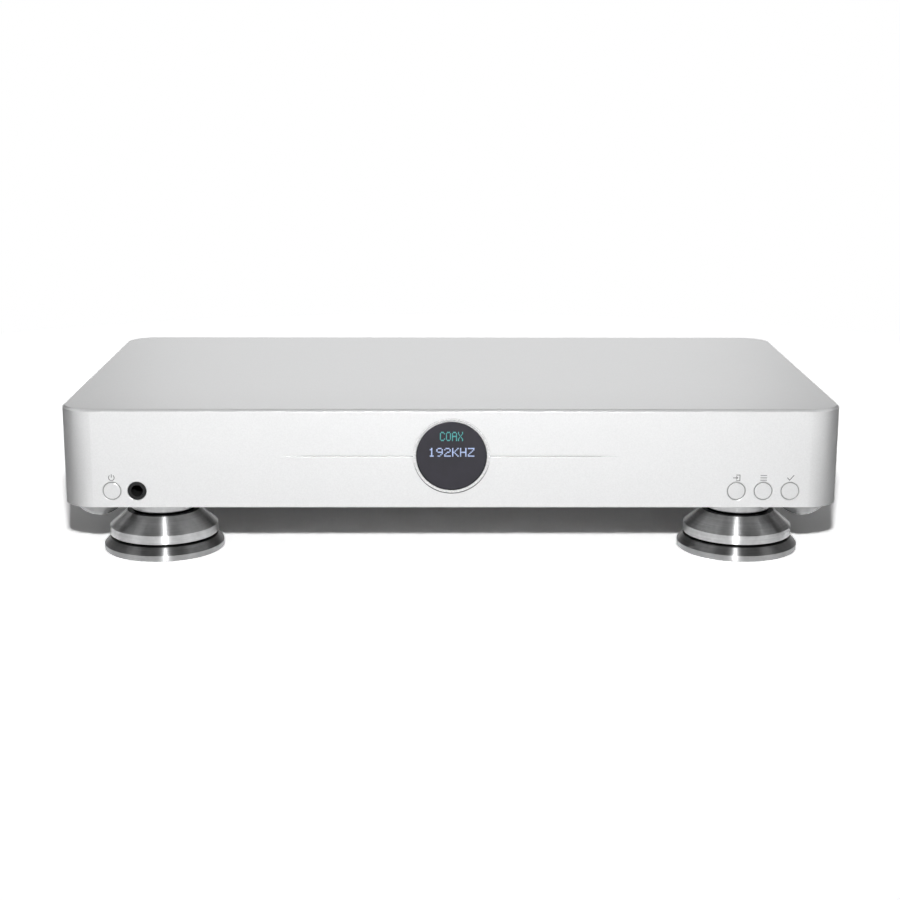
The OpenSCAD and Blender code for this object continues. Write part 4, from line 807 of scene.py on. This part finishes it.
def dress(made, body, slot, *stands_for, finish=None):
    """Gives a piece its finish and its body, and hides the solids that it stands for."""
    made.data.materials.append(finishes[finish or slot])
    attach(made, body)
    if stands_for:
        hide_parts(*stands_for)


print("meshes can be cleaned and dressed")

# %% [markdown]
# The lathe itself walks around the axis row by row and joins each row of points to the next. A row on the
# axis is one point, and its faces become triangles.

# %% Lathe
def ring_radius(radius, sides, angle):
    """Distance from the axis: a circle, or a polygon whose flats lie at the radius."""
    if not sides:
        return radius
    wedge = 2 * math.pi / sides
    return radius / math.cos(angle % wedge - wedge / 2)


def lathe(name, outline, places, steps):
    """Spins a closed outline of (radius, height, sides), in millimetres, around each place's Z axis."""
    points = []
    faces = []
    for place in places:
        rows = []
        for radius, height, sides in outline:
            row = []
            for k in range(steps if radius > 1e-6 else 1):
                angle = 2 * math.pi * k / steps
                reach = ring_radius(radius, sides, angle)
                row.append(len(points))
                spot = Vector((reach * math.cos(angle), reach * math.sin(angle), height))
                points.append(place @ spot * mm)
            rows.append(row)
        for first, second in zip(rows, rows[1:] + rows[:1]):
            if len(first) + len(second) == 2:
                continue
            for k in range(steps):
                n = (k + 1) % steps
                walk = ((first, k), (first, n), (second, n), (second, k))
                quad = [ring[j % len(ring)] for ring, j in walk]
                faces.append(tuple(dict.fromkeys(quad)))
    return tidy(link_mesh(name, points, faces))


print("lathe is ready")

# %% [markdown]
# ## The isolation feet
# Each foot is a heavy steel base, a cone that rests on a rubber ring, and a cap under the case. The thin
# rubber parts between them show as black gaps. A stud passes through cap and cone, so these two are spun
# with a bore.

# %% Feet
base_corners = [(0, 0, 0), (33.5, 0, 0.2), (34, 0.5, 0.2), (34, 3.5, 0.3), (30.5, 7.4, 0.25), (0, 7.4, 0)]
cone_corners = [(0, 8.9, 0), (30.5, 8.9, 0.25), (30.5, 14.0, 0.3), (20.5, 22.6, 0.3)]
cone_corners += [(3.05, 22.6, 0), (3.05, 14.55, 0), (0, 14.55, 0)]
cap_corners = [(3.05, 23.9, 0), (18, 23.9, 0.2), (18.5, 24.4, 0.2), (18.5, 32, 0), (3.05, 32, 0)]

foot_places = []
for x in (-foot_x, foot_x):
    for y in (-foot_y, foot_y):
        foot_places.append(Matrix.Translation((x / mm, y / mm, 0)))
for name, corners in (("bases", base_corners), ("cones", cone_corners), ("caps", cap_corners)):
    made = lathe("turned_" + name, rounded(corners), foot_places, 144)
    # The bases take the darker copy of the steel, which paints shade.
    finish = "base_steel_shaded" if name == "bases" else "turned_steel"
    dress(made, "chassis", "turned_steel", "isolator_" + name, finish=finish)
    print(made.name, len(made.data.polygons), "faces")

# %% [markdown]
# ## Screws with sockets
# Every screw has a hexagonal socket, as machine screws do. It is one outline again: from the bottom of
# the socket up its six sides, over the head's face and down to the end of the shank. Heads that sit in a
# cone-shaped hole are flat.

# %% Screws
def flat_screw(head_r, shank_r, length, socket):
    """Outline of a flat-headed screw whose face lies at height 0 and whose shank points down."""
    deep = 0.55 * head_r
    return [
        (0, -deep, 0), (socket, -deep, 6), (socket, -0.08, 6), (socket * 1.16, 0, 0), (head_r - 0.12, 0, 0),
        (head_r, -0.12, 0), (shank_r, shank_r - head_r, 0), (shank_r, 0.3 - length, 0),
        (shank_r - 0.3, -length, 0), (0, -length, 0),
    ]


def facing(x, y, z, toward):
    """A place, in millimetres, whose Z axis points in a direction."""
    return Matrix.Translation((x, y, z)) @ Vector(toward).to_track_quat("Z", "Y").to_matrix().to_4x4()


panel_y = 111.0
flange_y = 113.5
mid_z = 59.5
back = (0, 1, 0)
down = (0, 0, -1)
rear_places = [facing(x, panel_y, mid_z + z, back) for x in (-196, -66.33, 66.33, 196) for z in (-19, 19)]
rear_places += [facing(166 + x, flange_y, mid_z, back) for x in (-20, 20)]
for x in (-95, -55):
    rear_places.append(facing(x - 9.4, flange_y, mid_z - 11.9, back))
    rear_places.append(facing(x + 9.4, flange_y, mid_z + 11.9, back))
made = lathe("socket_screws_rear", flat_screw(2.8, 1.5, 6, 1.0), rear_places, 24)
dress(made, "chassis", "black_screw", "rear_screws")

bottom_spots = [(x, y) for x in (-122, 122) for y in (-110, 102)]
bottom_spots += [(x, y) for x in (-206, 206) for y in (-50, 50)]
bottom_places = [facing(x, y, 32, down) for x, y in bottom_spots]
made = lathe("socket_screws_bottom", flat_screw(2.8, 1.5, 8, 1.0), bottom_places, 24)
dress(made, "chassis", "black_screw", "bottom_screws")
print("rear screws", len(rear_places), "bottom screws", len(bottom_places))

# %% [markdown]
# The screws in the corner feet have a round head, because nothing sits flush there. Their outline ends in
# a softer edge.

# %% Corner foot screws
head_face = 24.9
head_top = 27.3
shank_end = 35.0
round_head = [
    (0, -1.4, 0), (1.25, -1.4, 6), (1.25, -0.08, 6), (1.45, 0, 0),
    (2.6, 0, 0), (3.3, -0.25, 0), (3.7, -0.9, 0),
    (3.7, head_face - head_top, 0), (2, head_face - head_top, 0), (2, head_face - shank_end, 0),
    (0, head_face - shank_end, 0),
]
dome_places = [facing(x, y, head_face, down) for x in (-196.5, 196.5) for y in (-101.5, 101.5)]
made = lathe("socket_screws_feet", round_head, dome_places, 24)
dress(made, "chassis", "black_screw", "corner_foot_screws")
print("corner foot screws", len(dome_places))

# %% [markdown]
# ## The lit display
# A dot-matrix display forms each character from five by seven dots. Writing the dots as little pictures
# of text keeps them easy to change.

# %% Dot characters
dots = {
    "A": (".###.", "#...#", "#...#", "#####", "#...#", "#...#", "#...#"),
    "C": (".###.", "#...#", "#....", "#....", "#....", "#...#", ".###."),
    "H": ("#...#", "#...#", "#...#", "#####", "#...#", "#...#", "#...#"),
    "K": ("#...#", "#..#.", "#.#..", "##...", "#.#..", "#..#.", "#...#"),
    "O": (".###.", "#...#", "#...#", "#...#", "#...#", "#...#", ".###."),
    "X": ("#...#", "#...#", ".#.#.", "..#..", ".#.#.", "#...#", "#...#"),
    "Z": ("#####", "....#", "...#.", "..#..", ".#...", "#....", "#####"),
    "1": ("..#..", ".##..", "..#..", "..#..", "..#..", "..#..", ".###."),
    "2": (".###.", "#...#", "....#", "..##.", ".#...", "#....", "#####"),
    "9": (".###.", "#...#", "#...#", ".####", "....#", "...#.", ".##.."),
}
print("characters", "".join(dots))

# %% [markdown]
# The upper row names the input and the lower one the sampling rate. Each dot is a thin pad on the glass
# that glows a little, with small differences from dot to dot as in a real display.

# %% Dot rows
glass_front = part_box("display_window")[0].y / mm
display_z = (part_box("display_window")[0].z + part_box("display_window")[1].z) / 2 / mm
dot_height = 0.02


def pads(name, boxes):
    """One mesh of many small closed boxes, each given by its lowest and highest corner in millimetres."""
    points = []
    faces = []
    for low, high in boxes:
        n = len(points)
        for x in (low[0], high[0]):
            for y in (low[1], high[1]):
                points += [Vector((x, y, low[2])) * mm, Vector((x, y, high[2])) * mm]
        for face in ((0, 1, 3, 2), (4, 6, 7, 5), (0, 4, 5, 1), (2, 3, 7, 6), (0, 2, 6, 4), (1, 5, 7, 3)):
            faces.append(tuple(n + k for k in face))
    return tidy(link_mesh(name, points, faces))


def dot_row(name, text, level, pitch_x, pitch_z, colour, strength):
    width = (len(text) * 6 - 1) * pitch_x
    boxes = []
    for place, character in enumerate(text):
        for row, line in enumerate(dots[character]):
            for column, mark in enumerate(line):
                if mark == "#":
                    x = -width / 2 + (place * 6 + column) * pitch_x
                    z = display_z + level + (3.5 - row) * pitch_z
                    low = (x, glass_front - dot_height, z - pitch_z * 0.88)
                    boxes.append((low, (x + pitch_x * 0.88, glass_front, z)))
    made = pads(name, boxes)
    material, shader = new_finish(name + "_glow", colour, 0.0, 0.4)
    shader.inputs["Emission Color"].default_value = (*colour, 1)
    flicker = noise(material, 2.5 * mm)
    vary(material, shader.inputs["Emission Strength"], flicker, strength * 0.8, strength * 1.2)
    tint(material, shader, noise(material, 1.0 * mm), [c * 0.5 for c in colour], [c * 0.7 for c in colour])
    dress(made, "chassis", "display_screen", finish=name + "_glow")
    print(name, len(boxes), "dots")


dot_row("display_row_input", "COAX", 10.8, 0.55, 0.74, (0.05, 0.30, 0.30), 0.75)
dot_row("display_row_rate", "192KHZ", 1.9, 0.72, 0.71, (0.36, 0.44, 0.66), 0.75)

# %% [markdown]
# ## Dark rings around the display
# A thin black ring lies on the window's edge. Around the lower half of the bezel, where the ring meets
# the case, a fine dark line is painted shadow: the shadow of the ring on the side that looks away from the
# lamp. Both are flat rings with a hair's thickness, and the shadow line's width follows the sine of the
# angle.

# %% Flat rings
def flat_ring(name, front, height, start, end, inner, outer, steps=180):
    """A thin plate between two radii, in millimetres, that may change with the angle."""
    whole = abs(end - start) >= 360
    count = steps if whole else steps + 1
    points = []
    faces = []
    for k in range(count):
        angle = math.radians(start + (end - start) * k / steps)
        for radius in (inner(angle), outer(angle)):
            x = radius * math.cos(angle)
            z = display_z + radius * math.sin(angle)
            points += [Vector((x, y, z)) * mm for y in (front, front + height)]
    for k in range(steps):
        a = 4 * k
        b = 4 * ((k + 1) % count)
        for i, n in ((0, 1), (1, 3), (3, 2), (2, 0)):
            faces.append((a + i, a + n, b + n, b + i))
    if not whole:
        last = 4 * (count - 1)
        faces += [(0, 2, 3, 1), (last, last + 1, last + 3, last + 2)]
    return tidy(link_mesh(name, points, faces))


print("rings can be drawn")

# %% [markdown]
# The border lies on the glass, the painted shadow line on the case, and a pale shade along the upper inner
# edge of the bezel stands for the part of its slope that the lamp can't reach.

# %% Border, shadow line and shade
border = flat_ring("window_border", glass_front - 0.01, 0.01, 0, 360, lambda a: 18.95, lambda a: 19.45)
moulded("border_black", grey(0.004), 0.5, 0.5 * mm, 0.002 * mm, shine=0.1)
dress(border, "chassis", "display_glass", finish="border_black")

front_y = case_low.y / mm
# A dark line of painted shadow below the bezel, widest at the bottom.
shadow_line = flat_ring(
    "bezel_shadow_line", front_y - 0.005, 0.005, 190, 350, lambda a: 20.98 + 0.48 * math.sin(a), lambda a: 21.0,
)
moulded("painted_shadow_grey", grey(0.10), 0.6, 0.5 * mm, 0.002 * mm, shine=0.2)
dress(shadow_line, "chassis", "bezel_metal", finish="painted_shadow_grey")

shade = flat_ring(
    "bezel_shade", glass_front - 0.03, 0.03, 2, 178, lambda a: 19.44 - 0.40 * math.sin(a), lambda a: 19.45,
)
moulded("shade_grey", grey(0.78), 0.5, 0.5 * mm, 0.002 * mm, shine=0.3)
dress(shade, "chassis", "bezel_metal", finish="shade_grey")
print("rings", border.name, shadow_line.name, shade.name)

# %% [markdown]
# ## Signs above the keys
# The keys' purposes are printed on the case as small grey signs: the power sign, an arrow into a box for
# the input, three bars for the menu and a tick to confirm. A printed sign is a line of even width, so a
# helper widens a path to a thin plate of ink, with mitred corners.

# %% Pen strokes
def stroke(path, width, closed=False):
    """Left and right edge points of a path that is widened in its own plane."""
    edges = []
    count = len(path)
    for i, here in enumerate(path):
        back = path[i - 1] if closed or i else None
        on = path[(i + 1) % count] if closed or i < count - 1 else None
        into = (here - back).normalized() if back is not None else (on - here).normalized()
        out = (on - here).normalized() if on is not None else into
        along = (into + out).normalized()
        side = Vector((-along.y, along.x))
        grow = width / 2 / max(0.5, along.dot(into))
        edges.append((here + side * grow, here - side * grow))
    return edges


def ink(name, strokes, width, to_space):
    """A thin closed plate along each (path, closed); to_space turns (u, v, height) into metres."""
    points = []
    faces = []
    for path, closed in strokes:
        start = len(points)
        edges = stroke([Vector(p) for p in path], width, closed)
        for left, right in edges:
            for spot in (left, right):
                points += [to_space(spot.x, spot.y, 0), to_space(spot.x, spot.y, 1)]
        count = len(edges)
        for i in range(count if closed else count - 1):
            a = start + 4 * i
            b = start + 4 * ((i + 1) % count)
            for k, n in ((0, 1), (1, 3), (3, 2), (2, 0)):
                faces.append((a + k, a + n, b + n, b + k))
        if not closed:
            last = start + 4 * (count - 1)
            faces += [(start, start + 1, start + 3, start + 2), (last, last + 2, last + 3, last + 1)]
    return tidy(link_mesh(name, points, faces))


def arc(x, y, radius, start, end, steps=24):
    """Points along a circle, with angles in degrees."""
    turn = [math.radians(start + (end - start) * k / steps) for k in range(steps + 1)]
    return [(x + radius * math.cos(t), y + radius * math.sin(t)) for t in turn]


print("pen is ready")

# %% [markdown]
# Each sign is a few paths in millimetres around its middle, printed above its key. Grey ink with a slight
# unevenness keeps them quiet on the pale case.

# %% Signs
material, shader = new_finish("printed_ink", grey(0.20), 0.0, 0.6)
tint(material, shader, noise(material, 0.6 * mm), grey(0.17), grey(0.23))
gloss(material, shader, 1.5 * mm, 0.5, 0.7)

key_x = {}
for name in ("power", "source", "menu", "select"):
    low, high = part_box(name + "_key")
    key_x[name] = (low.x + high.x) / 2 / mm
sign_z = 48.7
sign_line = 0.46
ink_height = 0.005
signs = {
    "power": [(arc(0, 0, 1.55, 125, 415), False), ([(0, 0.1), (0, 2.0)], False)],
    "source": [
        ([(-0.3, 1.6), (1.7, 1.6), (1.7, -1.6), (-0.3, -1.6)], False),
        ([(-2.1, 0), (0.5, 0)], False),
        ([(-0.35, 0.85), (0.5, 0), (-0.35, -0.85)], False),
    ],
    "menu": [([(-1.8, z), (1.8, z)], False) for z in (1.3, 0, -1.3)],
    "select": [([(-1.8, 0.1), (-0.5, -1.3), (1.9, 1.5)], False)],
}
for name, strokes in signs.items():
    def on_front(u, v, height, x=key_x[name]):
        return Vector((x + u, case_low.y / mm - height * ink_height, sign_z + v)) * mm

    made = ink("sign_" + name, strokes, sign_line, on_front)
    dress(made, "chassis", "ribbon_plastic", finish="printed_ink")
print("signs above", list(signs))

# %% [markdown]
# ## Shade in the key gaps
# Around each key there is a gap, and a deep gap would be black. A skirt, a washer that rides on its key,
# fills most of it a fifth of a millimetre behind the face. Its grey is painted shade, so the ring around a
# key is a soft grey shadow line.

# %% Key gap shade
# This grey is painted shade for the gaps around the keys.
moulded("key_gap_shade_grey", grey(0.30), 0.5, 0.5 * mm, 0.002 * mm, shine=0.3)
gap_shade_outline = [(4.45, -0.30, 0), (5.02, -0.30, 0), (5.02, -0.20, 0), (4.45, -0.20, 0)]
for name, x in key_x.items():
    low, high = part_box(name + "_key")
    place = facing(x, low.y / mm, (low.z + high.z) / 2 / mm, (0, -1, 0))
    made = lathe("key_gap_shade_" + name, gap_shade_outline, [place], 72)
    dress(made, name + "_key", "key_aluminium", finish="key_gap_shade_grey")
print("skirts ride on", [name + "_key" for name in key_x])

# %% [markdown]
# ## The rocker's marks
# The mains rocker carries the usual line for on and ring for off. They ride on the rocker, so each is
# drawn on one of its two sloping faces and turned with it about its pivot. The face's own direction and
# normal carry the marks.

# %% Rocker marks
material, shader = new_finish("white_ink", grey(0.72), 0.0, 0.5)
tint(material, shader, noise(material, 0.8 * mm), grey(0.66), grey(0.76))
gloss(material, shader, 1.5 * mm, 0.4, 0.6)

rocker_pivot = Vector((130, panel_y, mid_z))
rocker_turn = Matrix.Rotation(math.radians(10), 3, "X")
valley_y = 1.8
ridge_y = 3.0
half_z = 7.2
mark_z = 4.0


def on_rocker(u, v, height, half):
    """A place on the upper (half = 1) or lower (half = -1) face: across, up along it, and out of it."""
    along = Vector((0, ridge_y - valley_y, half * half_z)).normalized()
    out = Vector((0, half_z, -half * (ridge_y - valley_y))).normalized()
    middle = Vector((0, valley_y + (ridge_y - valley_y) * mark_z / half_z, half * mark_z))
    local = middle + along * (v * half) + out * (height * 0.02) + Vector((u, 0, 0))
    return (rocker_pivot + rocker_turn @ local) * mm


on_line = [([(0, -1.5), (0, 1.5)], False)]
on_mark = ink("rocker_on_mark", on_line, 0.55, lambda u, v, h: on_rocker(u, v, h, 1))
off_ring = [(arc(0, 0, 1.35, 0, 360, 36)[:-1], True)]
off_mark = ink("rocker_off_mark", off_ring, 0.5, lambda u, v, h: on_rocker(u, v, h, -1))
for mark in (on_mark, off_mark):
    dress(mark, "mains_rocker", "rocker_plastic", finish="white_ink")
print("rocker marks ride on", "mains_rocker")

# %% [markdown]
# ## Inside the sockets
# What a plug meets is small but gives each socket its face: eight gold springs in the network socket's
# black liner and a plastic tongue with four contacts for USB. Springs are strokes again, drawn from the
# side and given a width, and the liner is a closed stroke drawn from behind.

# %% Contacts
lan_x = 68.0
lan_mouth = [(-5.77, 55.67), (5.77, 55.67), (5.77, 48.53), (2.87, 48.53)]
lan_mouth += [(2.87, 46.93), (-2.87, 46.93), (-2.87, 48.53), (-5.77, 48.53)]


def along_socket(u, v, h):
    return Vector((lan_x + u, 99.1 + 12.5 * h, v)) * mm


dress(ink("network_liner", [(lan_mouth, True)], 0.24, along_socket), "chassis", "black_plastic")
back_wall = pads("network_back", [((lan_x - 5.6, 99.02, 48.7), (lan_x + 5.6, 99.3, 55.5))])
dress(back_wall, "chassis", "black_plastic")
for k in range(8):
    spring_x = lan_x + (k - 3.5) * 1.02

    def across_socket(u, v, h, x=spring_x):
        return Vector((x + (h - 0.5) * 0.45, u, v)) * mm

    path = [(110.2, 55.25), (108.9, 55.10), (104.5, 53.9), (101.0, 52.7)]
    made = ink(f"network_spring_{k + 1}", [(path, False)], 0.28, across_socket)
    dress(made, "chassis", "gold_contact")

usb_x = 90.0
usb_z = 50.0
tongue = pads("usb_tongue", [((usb_x - 2.9, 103.2, usb_z - 1.75), (usb_x + 2.9, 111.2, usb_z + 1.75))])
dress(tongue, "chassis", "black_plastic")
strips = []
for x in (usb_x - 1.25, usb_x + 1.25):
    for z in (usb_z - 1.87, usb_z + 1.75):
        strips.append(((x - 0.5, 104.5, z), (x + 0.5, 110.4, z + 0.12)))
dress(pads("usb_contacts", strips), "chassis", "gold_contact")
print("network springs 8, usb contacts", len(strips))

# %% [markdown]
# The optical socket has a red lens with a rounded end, and each phono socket a gold sleeve for the plug's
# pin. Both are turned, so the lathe makes them.

# %% Lens and sleeves
material, shader = new_finish("lens_red", (0.16, 0.006, 0.006), 0.0, 0.08)
tint(material, shader, noise(material, 1.0 * mm), (0.13, 0.004, 0.004), (0.20, 0.010, 0.010))
dome = [(1.25 * math.cos(t), 0.5 + 1.25 * math.sin(t), 0) for t in (0, 0.3, 0.6, 0.9, 1.2)]
lens_outline = [(0, -0.1, 0), (1.25, -0.1, 0)] + dome + [(0, 1.75, 0)]
made = lathe("optical_lens", lens_outline, [facing(46, 103, 49.6, back)], 32)
dress(made, "chassis", "black_plastic", finish="lens_red")

sleeve = [(1.15, -6, 0), (1.6, -6, 0), (1.6, -0.15, 0), (1.45, 0, 0), (1.25, 0, 0), (1.15, -0.1, 0)]
sleeve_places = [facing(x, 118.0, 53.6, back) for x in (24, -138, -165)]
dress(lathe("phono_sleeves", sleeve, sleeve_places, 32), "chassis", "gold_contact")
print("lens and", len(sleeve_places), "sleeves")

# %% [markdown]
# ## The last look at the size
# The dressed object's size is printed, to set beside the solids' size printed at the start. The
# dressed object has to stay inside the solids' box.

# %% Size and finish
low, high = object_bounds()
print("visual size", [round(v / mm, 2) for v in high - low], "mm")
